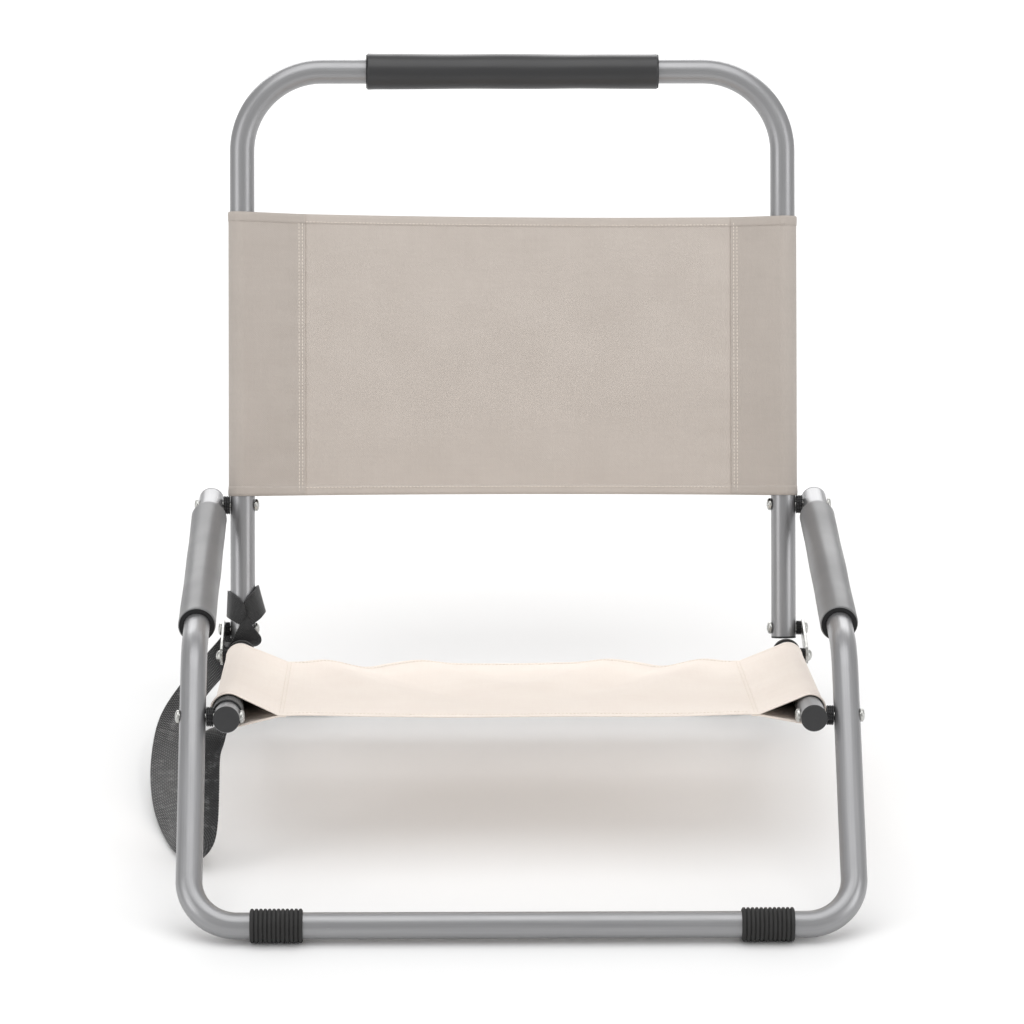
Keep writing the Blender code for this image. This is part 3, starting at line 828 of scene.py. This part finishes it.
# Cloths -------------------------------------------------------------------------------------
@dataclass
class Sling:
    """A cloth panel whose side edges fold round two tubes and are sewn down on themselves."""

    name: str
    node: str
    body: Body
    cloth: Finish
    thread: Finish
    layout: Layout
    origin: Vector
    along: Vector
    normal: Vector
    start: float
    end: float
    layer: Layer
    seam_dip: float
    middle_dip: float
    loop_radius: float = 12.0 * MM
    seam_left: float = 50.6 * MM
    seam_right: float = 40.7 * MM
    flap: float = 5.9 * MM
    thickness: float = 0.9 * MM
    hem: float = 8 * MM
    stations: int = 96
    panel_steps: int = 44
    loop_steps: int = 36
    flank_steps: int = 12
    flap_steps: int = 3
    ripple: Callable[[float, float], float] = lambda x, t: 0.0
    edge_low: Callable[[float], float] = lambda x: 0.0
    edge_high: Callable[[float], float] = lambda x: 0.0
    swell: Callable[[float, float], float] = lambda x, t: 0.0

    def seam_offset(self, x: float) -> float:
        """How far the seam on a place's side lies from the tube's middle."""
        return self.seam_left if x < 0 else self.seam_right

    def panel_depth(self, x: float, t: float) -> float:
        """How far the panel lies from the plane of the tubes' middles.

        Args:
            x: The place across the chair.
            t: The place along the cloth, from 0 to 1.

        Returns:
            The depth along the normal.
        """
        seam_x = self.layout.rail_x - self.seam_offset(x)
        share = 1 - min(1.0, abs(x) / seam_x) ** 2
        return self.seam_dip + (self.middle_dip - self.seam_dip) * share + self.ripple(x, t)

    def half_section(self, sign: int, t: float) -> list[tuple[float, float]]:
        """One side of the cloth's section, from the middle out, round the tube and back.

        Args:
            sign: The side, -1 or 1.
            t: The place along the cloth, from 0 to 1.

        Returns:
            Pairs of X and depth along the normal.
        """
        side = self.layer.value
        offset = self.seam_offset(sign)
        seam_x = self.layout.rail_x - offset
        points = [(x, self.panel_depth(x, t)) for x in
                  (sign * seam_x * i / self.panel_steps for i in range(self.panel_steps + 1))]
        radius = self.loop_radius + self.swell(sign * self.layout.rail_x, t)
        depth = points[-1][1]
        reach = math.hypot(offset, depth)
        to_seam = math.atan2(depth, -offset) % FULL_TURN
        opening = math.acos(radius / reach)
        first = to_seam - side * opening
        last = to_seam + side * opening - side * FULL_TURN
        arc = []
        for i in range(self.loop_steps + 1):
            angle = first + (last - first) * i / self.loop_steps
            arc.append((self.layout.rail_x + radius * math.cos(angle), radius * math.sin(angle)))
        inner = (seam_x, depth)
        outer = (seam_x, depth - side * 1.1 * self.thickness)
        for i in range(1, self.flank_steps):
            s = i / self.flank_steps
            x = sign * (inner[0] + (arc[0][0] - inner[0]) * s)
            pull = self.ripple(x, t) * (1 - s) ** 2 * 0.3
            points.append((x, inner[1] + (arc[0][1] - inner[1]) * s + pull))
        points += [(sign * x, y) for x, y in arc]
        for i in range(1, self.flank_steps + 1):
            s = i / self.flank_steps
            points.append((sign * (arc[-1][0] + (outer[0] - arc[-1][0]) * s),
                           arc[-1][1] + (outer[1] - arc[-1][1]) * s))
        for i in range(1, self.flap_steps + 1):
            x = seam_x - self.flap * i / self.flap_steps
            points.append((sign * x, self.panel_depth(sign * x, t) - side * 1.1 * self.thickness))
        return points

    def spot(self, x: float, depth: float, t: float) -> Vector:
        """A point of the cloth from its place across, its depth and its place along.

        Args:
            x: The place across the chair.
            depth: The depth along the normal.
            t: The place along the cloth, from 0 to 1.

        Returns:
            The point.
        """
        length = (self.start + self.edge_low(x)) * (1 - t) + (self.end + self.edge_high(x)) * t
        return self.origin + RIGHT * x + self.along * length + self.normal * depth

    def section(self, t: float) -> list[Vector]:
        """The whole section of the cloth at one place along it."""
        left = self.half_section(-1, t)
        whole = list(reversed(left)) + self.half_section(1, t)[1:]
        return [self.spot(x, depth, t) for x, depth in whole]

    def hem_strip(self, label: str, t0: float, t1: float) -> bpy.types.Object:
        """A turned and sewn hem: a thicker strip along one free edge.

        Args:
            label: The name's last word.
            t0: The hem's outer edge along the cloth.
            t1: Its inner edge.

        Returns:
            The hem.
        """
        rings = []
        outer, inner = self.section(t0), self.section(t1)
        lift = self.thickness * 1.05
        for i, (a, b) in enumerate(zip(outer, inner)):
            before, after = outer[max(i - 1, 0)], outer[min(i + 1, len(outer) - 1)]
            across = (after - before).normalized()
            width = (b - a).normalized()
            out = across.cross(width).normalized()
            pucker = 0.12 * MM * math.sin(i * 2.3)
            rings.append([a - width * 0.6 * MM, a + out * lift * 0.8,
                          a.lerp(b, 0.3) + out * (lift + pucker),
                          a.lerp(b, 0.75) + out * (lift * 0.75 + pucker), b + out * lift * 0.75,
                          b + width * 0.3 * MM,
                          b - out * lift * 0.75, a.lerp(b, 0.75) - out * (lift * 0.75 - pucker),
                          a.lerp(b, 0.3) - out * (lift - pucker), a - out * lift * 0.8])
        piece = loft(f"{self.name}_hem_{label}", rings, crease=70)
        return dress(piece, self.cloth, self.body)

    def seam_rows(self) -> list[bpy.types.Object]:
        """The double rows of stitching that hold the sleeves, on both faces of the cloth.

        Returns:
            The stitch rows.
        """
        rows = []
        for side in Side:
            seam_x = self.layout.rail_x - self.seam_offset(side.value)
            for label, inset in (("outer", 0.4 * MM), ("inner", 3.4 * MM)):
                for face, word in ((-1, "front"), (1, "rear")):
                    x = side.value * (seam_x - inset)
                    lift = 1.6 if face == -self.layer.value else 0.5
                    points = [self.spot(x, self.panel_depth(x, i / 120)
                                        + face * lift * self.thickness, i / 120)
                              for i in range(1, 120)]
                    row = thread_run(f"{self.name}_seam_{side.word}_{label}_{word}", points,
                                     3.2 * MM, 0.75 * MM)
                    rows.append(dress(row, self.thread, self.body))
        return rows

    def hem_row(self, label: str, t: float) -> bpy.types.Object:
        """The row of stitching along a hem, on its shown face.

        Args:
            label: The name's last word.
            t: The row's place along the cloth.

        Returns:
            The stitch row.
        """
        left = self.seam_left + self.flap - self.layout.rail_x
        right = self.layout.rail_x - self.seam_right - self.flap
        points = []
        for i in range(161):
            x = left + (right - left) * i / 160
            points.append(self.spot(x, self.panel_depth(x, t) - 0.95 * self.thickness, t))
        row = thread_run(f"{self.name}_hem_row_{label}", points, 3.2 * MM, 0.7 * MM)
        return dress(row, self.thread, self.body)

    def build(self) -> bpy.types.Object:
        """Returns:
            The cloth.
        """
        rings = [self.section(i / self.stations) for i in range(self.stations + 1)]
        sheet = loft(self.name, rings, closed=False, caps=False)
        thicken(sheet, self.thickness)
        dress(sheet, self.cloth, self.body, self.node)
        share = self.hem / (self.end - self.start)
        extras = [self.hem_strip("low", 0.0, share), self.hem_strip("high", 1.0, 1 - share),
                  self.hem_row("low", share * 0.8), self.hem_row("high", 1 - share * 0.8)]
        extras += self.seam_rows()
        # The cut adds two turned hems of 8 mm and a turned edge of 5 mm on each flap.
        return sheet


# Tubes, grips, feet and fasteners -----------------------------------------------------------
@dataclass
class Grip:
    """A foam sleeve pushed over a tube, slightly uneven and rolled at its ends."""

    node: str
    body: Body
    axis: Vector
    radius: float = 15.8 * MM
    bore: float = 11.3 * MM
    unevenness: float = 0.22 * MM
    curl: float = 0.5 * MM
    finish: Finish = GRIP_FOAM
    steps: int = 60
    sides: int = 48

    def build(self) -> bpy.types.Object:
        """Builds the sleeve in place of its CAD node.

        Returns:
            The sleeve.
        """
        low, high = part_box(self.node)
        length = abs((high - low).dot(self.axis))
        start = middle(self.node) - self.axis * length / 2
        side = self.axis.orthogonal().normalized()
        other = self.axis.cross(side)
        rings = []
        rim = [(0.0, self.bore), (0.0, self.bore + 1.6 * MM), (0.2 * MM, self.radius - 1.0 * MM),
               (0.8 * MM, self.radius - 0.2 * MM)]
        stations = rim + [(1.6 * MM + (length - 3.2 * MM) * i / self.steps, self.radius)
                          for i in range(self.steps + 1)]
        stations += [(length - along, reach) for along, reach in reversed(rim)]
        for along, reach in stations:
            near = min(along, length - along)
            flare = self.curl * math.exp(-near / (4 * MM))
            ring = []
            for i in range(self.sides):
                angle = FULL_TURN * i / self.sides
                across, up = math.cos(angle), math.sin(angle)
                lift = 0.0
                if reach > self.bore + 2 * MM:
                    rough = noise.noise(Vector((along * 16, across * 0.8, up * 0.8)))
                    lift = (rough * self.unevenness * 2 + flare * 0.4
                            + self.unevenness * 1.5 * math.cos(angle * 2 + along * 9))
                ring.append(start + self.axis * (along + flare * 0.3 * up)
                            + (side * across + other * up)
                            * min(reach + lift, self.radius + 0.7 * MM))
            rings.append(ring)
        for label, place, out in (("low", start, -self.axis),
                                  ("high", start + self.axis * length, self.axis)):
            outline = [(-0.4 * MM, self.bore), (0.45 * MM, self.bore),
                       (0.55 * MM, self.bore + 1 * MM), (0.45 * MM, self.radius - 0.7 * MM),
                       (-0.4 * MM, self.radius - 0.7 * MM)]
            ring = turned(f"{self.node}_cut_{label}", place, out, outline, self.sides, looped=True)
            dress(ring, CUT_FOAM, self.body)
        sleeve = loft(f"{self.node}_foam", rings, crease=50, caps=False)
        return dress(sleeve, self.finish, self.body, self.node)


@dataclass
class RibbedFoot:
    """A rubber foot with ribs round it, flattened where it stands."""

    node: str
    body: Body
    ribs: int = 12
    radius: float = 14 * MM
    groove: float = 1.3 * MM
    lift: float = 0.15 * MM

    def build(self) -> bpy.types.Object:
        """Builds the foot in place of its CAD node.

        Returns:
            The foot.
        """
        low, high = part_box(self.node)
        length = high.x - low.x
        centre = Vector((low.x, middle(self.node).y, middle(self.node).z))
        profile = [(0.0, 11.2 * MM), (0.0, self.radius - 1.4 * MM)]
        pitch = length / self.ribs
        for rib in range(self.ribs):
            base = rib * pitch
            for share, reach in ((0.08, self.groove), (0.2, 0.25 * MM), (0.35, 0.0), (0.65, 0.0),
                                 (0.8, 0.25 * MM), (0.92, self.groove)):
                profile.append((base + share * pitch, self.radius - reach))
        profile += [(length, self.radius - 1.4 * MM), (length, 11.2 * MM)]
        foot = turned(f"{self.node}_ribbed", centre, RIGHT, profile, 56)
        for vertex in foot.data.vertices:
            vertex.co.z = max(vertex.co.z, self.lift)
        return dress(foot, FOOT_RUBBER, self.body, self.node)


@dataclass
class Fastener:
    """The screw, dome nut and ribbed spacer of one pivot."""

    body: Body
    side: Side

    def screw(self, node: str, head: float = 5.5 * MM) -> None:
        """Builds a pan-head screw in place of a CAD bolt, with thin black inserts as painted shade
        in its cross recess.

        Args:
            node: The CAD bolt.
            head: The head's radius.
        """
        low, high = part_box(node)
        sign = self.side.value
        inner, outer = (low.x, high.x) if sign > 0 else (high.x, low.x)
        centre = Layout.at(middle(node), inner)
        height = 3.4 * MM
        profile = [(0.0, 1.2 * MM), (0.0, 2.6 * MM), (0.35 * MM, 3.9 * MM), (1.1 * MM, 5.0 * MM),
                   (2.0 * MM, head), (height, head), (height, 3.0 * MM),
                   (abs(outer - inner), 3.0 * MM)]
        screw = turned(f"{node}_pan_head", centre, RIGHT * sign, profile, 36)
        dress(screw, ZINC, self.body, node)
        # The cross recess is drawn as two thin black plastic inserts: painted shade where the
        # recess lies in shadow.
        half_length, half_width, depth = 2.3 * MM, 0.45 * MM, 0.3 * MM
        for label, turn in (("a", 0.6), ("b", 0.6 + math.pi / 2)):
            way = Vector((0, math.cos(turn), math.sin(turn)))
            square = Vector((0, -math.sin(turn), math.cos(turn)))
            face = centre - RIGHT * sign * 0.12 * MM
            rings = [[face + RIGHT * sign * d + way * a * half_length + square * b * half_width
                      for a, b in ((-1, -0.6), (-0.9, -1), (0.9, -1), (1, -0.6), (1, 0.6),
                                   (0.9, 1), (-0.9, 1), (-1, 0.6))] for d in (0, depth)]
            slot = loft(f"{node}_recess_{label}", rings)
            dress(slot, MOULDED_BLACK, self.body)

    def dome(self, node: str) -> None:
        """Builds a domed nut in place of a CAD nut or rivet.

        Args:
            node: The CAD nut.
        """
        low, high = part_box(node)
        sign = self.side.value
        centre = Layout.at(middle(node), low.x if sign > 0 else high.x)
        length, radius = high.x - low.x, (high.z - low.z) / 2
        profile = [(0.0, radius), (length * 0.35, radius)]
        profile += [(length * (0.35 + 0.65 * math.sin(a)), max(radius * math.cos(a), 0.3 * MM))
                    for a in (0.25, 0.5, 0.75, 1.0, 1.25, 1.5)]
        dress(turned(f"{node}_domed", centre, RIGHT * sign, profile, 32), ZINC, self.body, node)

    def spacer(self, node: str, ridges: int = 4) -> None:
        """Builds a ribbed spacer with a toothed rim in place of a CAD washer.

        Args:
            node: The CAD washer.
            ridges: The number of ridges along it.
        """
        low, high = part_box(node)
        length, radius = high.x - low.x, (high.z - low.z) / 2
        centre = Layout.at(middle(node), low.x)
        profile = [(0.0, 3.5 * MM)]
        for ridge in range(ridges):
            base = length * ridge / ridges
            step = length / ridges
            profile += [(base + share * step, radius - drop * MM)
                        for share, drop in ((0.02, 1.0), (0.3, 0.1), (0.7, 0.1), (0.98, 1.0))]
        profile.append((length, 3.5 * MM))
        spacer = turned(f"{node}_ribbed", centre, RIGHT, profile, 96, teeth=16, bite=0.7 * MM)
        dress(spacer, MOULDED_BLACK, self.body, node)


@dataclass
class Plug:
    """A pushed-in plastic plug with a shallow domed face, closing a tube's end."""

    node: str
    body: Body
    out: Vector
    radius: float = 11 * MM
    crown: float = 0.7 * MM

    def build(self) -> bpy.types.Object:
        """Builds the plug in place of its CAD node.

        Returns:
            The plug.
        """
        low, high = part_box(self.node)
        corners = [Vector((x, y, z)) for x in (low.x, high.x) for y in (low.y, high.y)
                   for z in (low.z, high.z)]
        centre = middle(self.node)
        # The box of a tilted disc reaches further than its face: its rim is taken off again.
        tilt = math.sqrt(max(0.0, 1 - max(abs(self.out.y), abs(self.out.z)) ** 2))
        reach = max((c - centre).dot(self.out) for c in corners) - 2 * tilt * self.radius * max(
            abs(self.out.y), abs(self.out.z))
        face = centre + self.out * reach
        profile = [(-5.6 * MM, self.radius - 1.6 * MM), (-1.6 * MM, self.radius - 1.6 * MM),
                   (-1.6 * MM, self.radius), (-0.6 * MM, self.radius),
                   (-0.15 * MM, self.radius - 0.5 * MM),
                   (self.crown * 0.25, self.radius * 0.7), (self.crown * 0.45, self.radius * 0.35),
                   (self.crown * 0.5, 0.5 * MM)]
        return dress(turned(f"{self.node}_moulded", face, self.out, profile, 48), MOULDED_BLACK,
                     self.body, self.node)


@dataclass
class FrontFrame:
    """Legs, arms and front bar in one bent tube, with grips, feet, plugs and pivots."""

    layout: Layout
    elbow_radius: float = 60 * MM
    corner_radius: float = 40 * MM

    def tube(self) -> bpy.types.Object:
        """Builds the bent tube.

        Returns:
            The tube.
        """
        lay = self.layout
        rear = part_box("front_frame_tube")[1].y
        arm_height = middle("arm_sleeve_right").z
        rise = (lay.seat_pivot.z - lay.front_bar.z) / (lay.seat_pivot.y - lay.front_bar.y)
        elbow_y = lay.front_bar.y + (arm_height - lay.front_bar.z) / rise
        half = [Vector((lay.leg_x, rear, arm_height)), Vector((lay.leg_x, elbow_y, arm_height)),
                Vector((lay.leg_x, lay.front_bar.y, lay.front_bar.z))]
        whole = half + [Vector((-p.x, p.y, p.z)) for p in reversed(half)]
        radii = [self.elbow_radius, self.corner_radius, self.corner_radius, self.elbow_radius]
        path = bent_path(whole, radii, 24)
        piece = tube_mesh("front_tube_smooth", path, lay.tube_radius, lay.tube_wall)
        return dress(piece, SILVER_COAT, Body.FRONT, "front_frame_tube")

    def build(self) -> None:
        """Builds every piece of the front frame."""
        self.tube()
        for side in Side:
            # The arm grips take the paler foam finish, painted for the top light they catch.
            Grip(f"arm_sleeve_{side.word}", Body.FRONT, Vector((0, 1, 0)),
                 finish=TOPLIT_GRIP_FOAM).build()
            RibbedFoot(f"front_foot_{side.word}", Body.FRONT).build()
            Plug(f"arm_end_plug_{side.word}", Body.FRONT, Vector((0, 1, 0)), crown=2 * MM).build()
            pivot = Fastener(Body.FRONT, side)
            for word in ("arm", "seat"):
                pivot.screw(f"{word}_pivot_bolt_{side.word}")
                pivot.dome(f"{word}_pivot_nut_{side.word}")
                pivot.spacer(f"{word}_pivot_washer_{side.word}")


@dataclass
class BackFrame:
    """The upright hoop, its hand grip, its cloth and the link bolts."""

    layout: Layout
    corner_radius: float = 72 * MM
    upright_end: float = 8.8 * MM

    def tube(self) -> bpy.types.Object:
        """Builds the hoop.

        Returns:
            The tube.
        """
        lay = self.layout
        low = lay.at(lay.link_pivot, 0) - lay.up_back * self.upright_end
        top = lay.at(lay.top_bar, 0)
        right = RIGHT * lay.rail_x
        corners = [low - right, top - right, top + right, low + right]
        path = bent_path(corners, [self.corner_radius] * 2, 28)
        piece = tube_mesh("back_hoop_smooth", path, lay.tube_radius, lay.tube_wall)
        return dress(piece, SILVER_COAT, Body.BACK, "back_frame_tube")

    def cloth(self) -> None:
        """Builds the back's cloth, stretched between the uprights."""
        lay = self.layout
        behind = lay.up_back.cross(RIGHT)

        def ripple(x: float, t: float) -> float:
            """Faint pulls from the seams and slow unevenness in the panel."""
            slow = noise.noise(Vector((x * 9, t * 2.2, 3.1))) * 0.9 * MM
            edge = math.exp(-((abs(x) - 0.19) / 0.016) ** 2)
            pulls = edge * 0.28 * MM * math.sin(t * 62 + x * 40)
            return slow * (1 - edge) + pulls

        Sling("back_panel_cloth", "back_fabric", Body.BACK, BACK_CLOTH, BACK_THREAD, lay,
              lay.at(lay.arm_pivot, 0), lay.up_back, behind, 9.5 * MM, 260 * MM, Layer.BEHIND,
              2 * MM, 2.6 * MM, ripple=ripple,
              edge_low=lambda x: (0.6 - 1.2 * (x / 0.225) ** 2) * MM,
              edge_high=lambda x: (-1.6 - 8.6 * x + 41 * x * x) * MM).build()

    def build(self) -> None:
        """Builds every piece of the back frame."""
        self.tube()
        Grip("handle_sleeve", Body.BACK, RIGHT, curl=0.9 * MM, unevenness=0.26 * MM).build()
        self.cloth()
        for side in Side:
            Plug(f"upright_end_plug_{side.word}", Body.BACK, -self.layout.up_back).build()
            pivot = Fastener(Body.BACK, side)
            pivot.screw(f"link_bolt_{side.word}")
            pivot.dome(f"link_nut_{side.word}")
            pivot.spacer(f"link_upper_washer_{side.word}")


@dataclass
class SeatFrame:
    """The rails, rear legs and rear bar, with the seat cloth, caps, bumpers and feet."""

    layout: Layout
    rail_front: float = 16 * MM
    bend_radius: float = 35 * MM
    corner_radius: float = 28 * MM
    # Length and radius along a bumper's section, in mm.
    bumper: tuple[tuple[float, float], ...] = (
        (0, 11.1), (0, 12.2), (0.6, 12.6), (5.4, 12.6), (6, 12.2), (6, 11.1))

    def tube(self) -> bpy.types.Object:
        """Builds the bent tube.

        Returns:
            The tube.
        """
        lay = self.layout
        pivot, along = lay.at(lay.seat_pivot, 0), lay.along_rail
        # The rear leg comes down to the rear bar, so their crossing with the rail is the bend.
        leg = Vector((0, math.cos(math.radians(78)), -math.sin(math.radians(78))))
        bar = lay.at(lay.rear_bar, 0)
        gap = bar - pivot
        reach = (gap.y * leg.z - gap.z * leg.y) / (along.y * leg.z - along.z * leg.y)
        bend = pivot + along * reach
        front = pivot - along * self.rail_front
        right = RIGHT * lay.rail_x
        corners = [front + right, bend + right, bar + right]
        corners += [point - right * 2 for point in reversed(corners)]
        radii = [self.bend_radius, self.corner_radius, self.corner_radius, self.bend_radius]
        path = bent_path(corners, radii, 24)
        piece = tube_mesh("seat_tube_smooth", path, lay.tube_radius, lay.tube_wall)
        return dress(piece, SILVER_COAT, Body.SEAT, "seat_frame_tube")

    def cloth(self) -> None:
        """Builds the seat's cloth, slung between the rails."""
        lay = self.layout
        below = RIGHT.cross(lay.along_rail) * -1

        def ripple(x: float, t: float) -> float:
            """Soft folds that run from the rear corners towards the front middle."""
            depth = 0.0
            for sign in (-1, 1):
                across = sign * x / 0.2
                for start, end, size, spread in FOLDS:
                    line = across - (start + (end - start) * (1 - t))
                    fade = max(0.0, min(1.0, t * 1.8)) * math.exp(-max(0.0, across - 0.75) * 5)
                    depth += size * MM * math.exp(-(line / spread) ** 2) * fade
            slow = noise.noise(Vector((x * 8, t * 2.4, 7.7))) * 1.6 * MM
            edge = math.exp(-((abs(x) - 0.2) / 0.014) ** 2)
            return (depth + slow) * (1 - edge) + edge * 0.3 * MM * math.sin(t * 70)

        Sling("seat_panel_cloth", "seat_fabric", Body.SEAT, SEAT_CLOTH, SEAT_THREAD, lay,
              lay.at(lay.seat_pivot, 0), lay.along_rail, below, 28.5 * MM, 295.5 * MM, Layer.ABOVE,
              4.0 * MM, 6.0 * MM, ripple=ripple, loop_radius=12.1 * MM,
              seam_left=42 * MM, seam_right=43 * MM,
              edge_low=lambda x: (1.2 - 2.2 * (x / 0.24) ** 2) * MM,
              edge_high=lambda x: (-1.5 + 3 * (x / 0.24) ** 2) * MM,
              swell=lambda x, t: (2.6 if x < 0 else 0.6) * MM * math.exp(-(t / 0.09) ** 2)).build()

    def build(self) -> None:
        """Builds every piece of the seat frame."""
        self.tube()
        self.cloth()
        along = self.layout.along_rail
        for side in Side:
            Plug(f"rail_cap_{side.word}", Body.SEAT, -along).build()
            RibbedFoot(f"rear_foot_{side.word}", Body.SEAT).build()
            Fastener(Body.SEAT, side).spacer(f"link_lower_washer_{side.word}")
            centre = middle(f"rail_bumper_{side.word}")
            bumper = turned(f"rail_bumper_{side.word}_ring", centre - along * 3 * MM, along,
                            [(length * MM, radius * MM) for length, radius in self.bumper],
                            40, looped=True)
            dress(bumper, FOOT_RUBBER, Body.SEAT, f"rail_bumper_{side.word}")


@dataclass
class Links:
    """The flat link bars and their lower rivets."""

    layout: Layout
    half_width: float = 7.8 * MM
    edge: float = 0.4 * MM

    def build(self) -> None:
        """Builds both links in place of their CAD nodes."""
        lay = self.layout
        start, end = lay.at(lay.link_pivot, 0), lay.at(lay.rail_pin, 0)
        ahead = (end - start).normalized()
        square = RIGHT.cross(ahead)
        for side, body in ((Side.LEFT, Body.LINK_LEFT), (Side.RIGHT, Body.LINK_RIGHT)):
            low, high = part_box(f"link_bar_{side.word}")
            rings = []
            for x, inset in ((low.x, self.edge), (low.x + self.edge, 0.0),
                             (high.x - self.edge, 0.0), (high.x, self.edge)):
                ring = []
                for centre, first in ((start, math.pi / 2), (end, -math.pi / 2)):
                    for step in range(21):
                        angle = first + math.pi * step / 20
                        reach = self.half_width - inset
                        ring.append(centre + RIGHT * x + (ahead * math.cos(angle)
                                                          + square * math.sin(angle)) * reach)
                rings.append(ring)
            dress(loft(f"link_bar_{side.word}_flat", rings), ZINC, body, f"link_bar_{side.word}")
            Fastener(body, side).dome(f"link_rivet_{side.word}")


# Camera, floor and light --------------------------------------------------------------------
@dataclass
class Studio:
    """The pale floor, the soft lights and the camera."""

    eye: tuple[float, float, float] = (-0.071, -4.0205, 1.7662)
    look_down: float = 20.697
    turn_right: float = 0.952
    roll: float = 0.228
    lens: float = 175.8

    def camera(self) -> None:
        """Adds the camera."""
        data = bpy.data.cameras.new("studio_camera")
        data.lens, data.sensor_width, data.clip_end = self.lens, 36.0, 60.0
        camera = stood("studio_camera", data)
        turn = (Matrix.Rotation(math.radians(-self.turn_right), 4, "Z")
                @ Matrix.Rotation(math.radians(90 - self.look_down), 4, "X")
                @ Matrix.Rotation(math.radians(self.roll), 4, "Z"))
        camera.matrix_world = Matrix.Translation(Vector(self.eye)) @ turn
        bpy.context.scene.camera = camera

    def light(self, name: str, place: Vector, size: tuple[float, float], power: float) -> None:
        """Adds one soft rectangular light aimed at the chair's middle.

        Args:
            name: The light's name.
            place: Where it stands.
            size: Its width and height.
            power: Its power in watts.
        """
        data = bpy.data.lights.new(name, "AREA")
        data.shape, data.size, data.size_y, data.energy = "RECTANGLE", *size, power
        lamp = stood(name, data)
        lamp.location = place
        lamp.rotation_euler = (Vector((0, 0, 0.25)) - place).to_track_quat("-Z", "Y").to_euler()

    def build(self) -> None:
        """Adds the floor, the lights, the surroundings and the camera."""
        self.camera()
        floor = loft("studio_floor", [[Vector((x, y, 0)) for x in (-8, 8)] for y in (-8, 8)],
                     closed=False, caps=False)
        floor.data.materials.append(STUDIO_FLOOR.material())
        self.light("overhead_softbox", Vector((0, -0.3, 3.2)), (3.4, 2.8), 48)
        self.light("left_softbox", Vector((-3.0, -1.8, 1.5)), (1.6, 2.4), 26)
        self.light("right_softbox", Vector((3.0, -1.8, 1.5)), (1.6, 2.4), 26)
        self.light("rear_softbox", Vector((0, 4.2, 2.0)), (5.0, 2.4), 95)
        world = bpy.data.worlds.new("studio_surroundings")
        world.use_nodes = True
        background = world.node_tree.nodes["Background"]
        background.inputs["Color"].default_value = (1, 1, 1, 1)
        background.inputs["Strength"].default_value = 0.62
        bpy.context.scene.world = world
        bpy.context.scene.view_settings.view_transform = "Standard"


def main() -> None:
    """Builds the studio and every piece of the chair."""
    logging.basicConfig(level=logging.INFO, format="%(message)s")
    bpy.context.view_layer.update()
    Studio().build()
    layout = Layout()
    CarryStrap(layout).build()
    FrontFrame(layout).build()
    BackFrame(layout).build()
    SeatFrame(layout).build()
    Links(layout).build()
    bpy.context.view_layer.update()


if __name__ == "__main__":
    main()
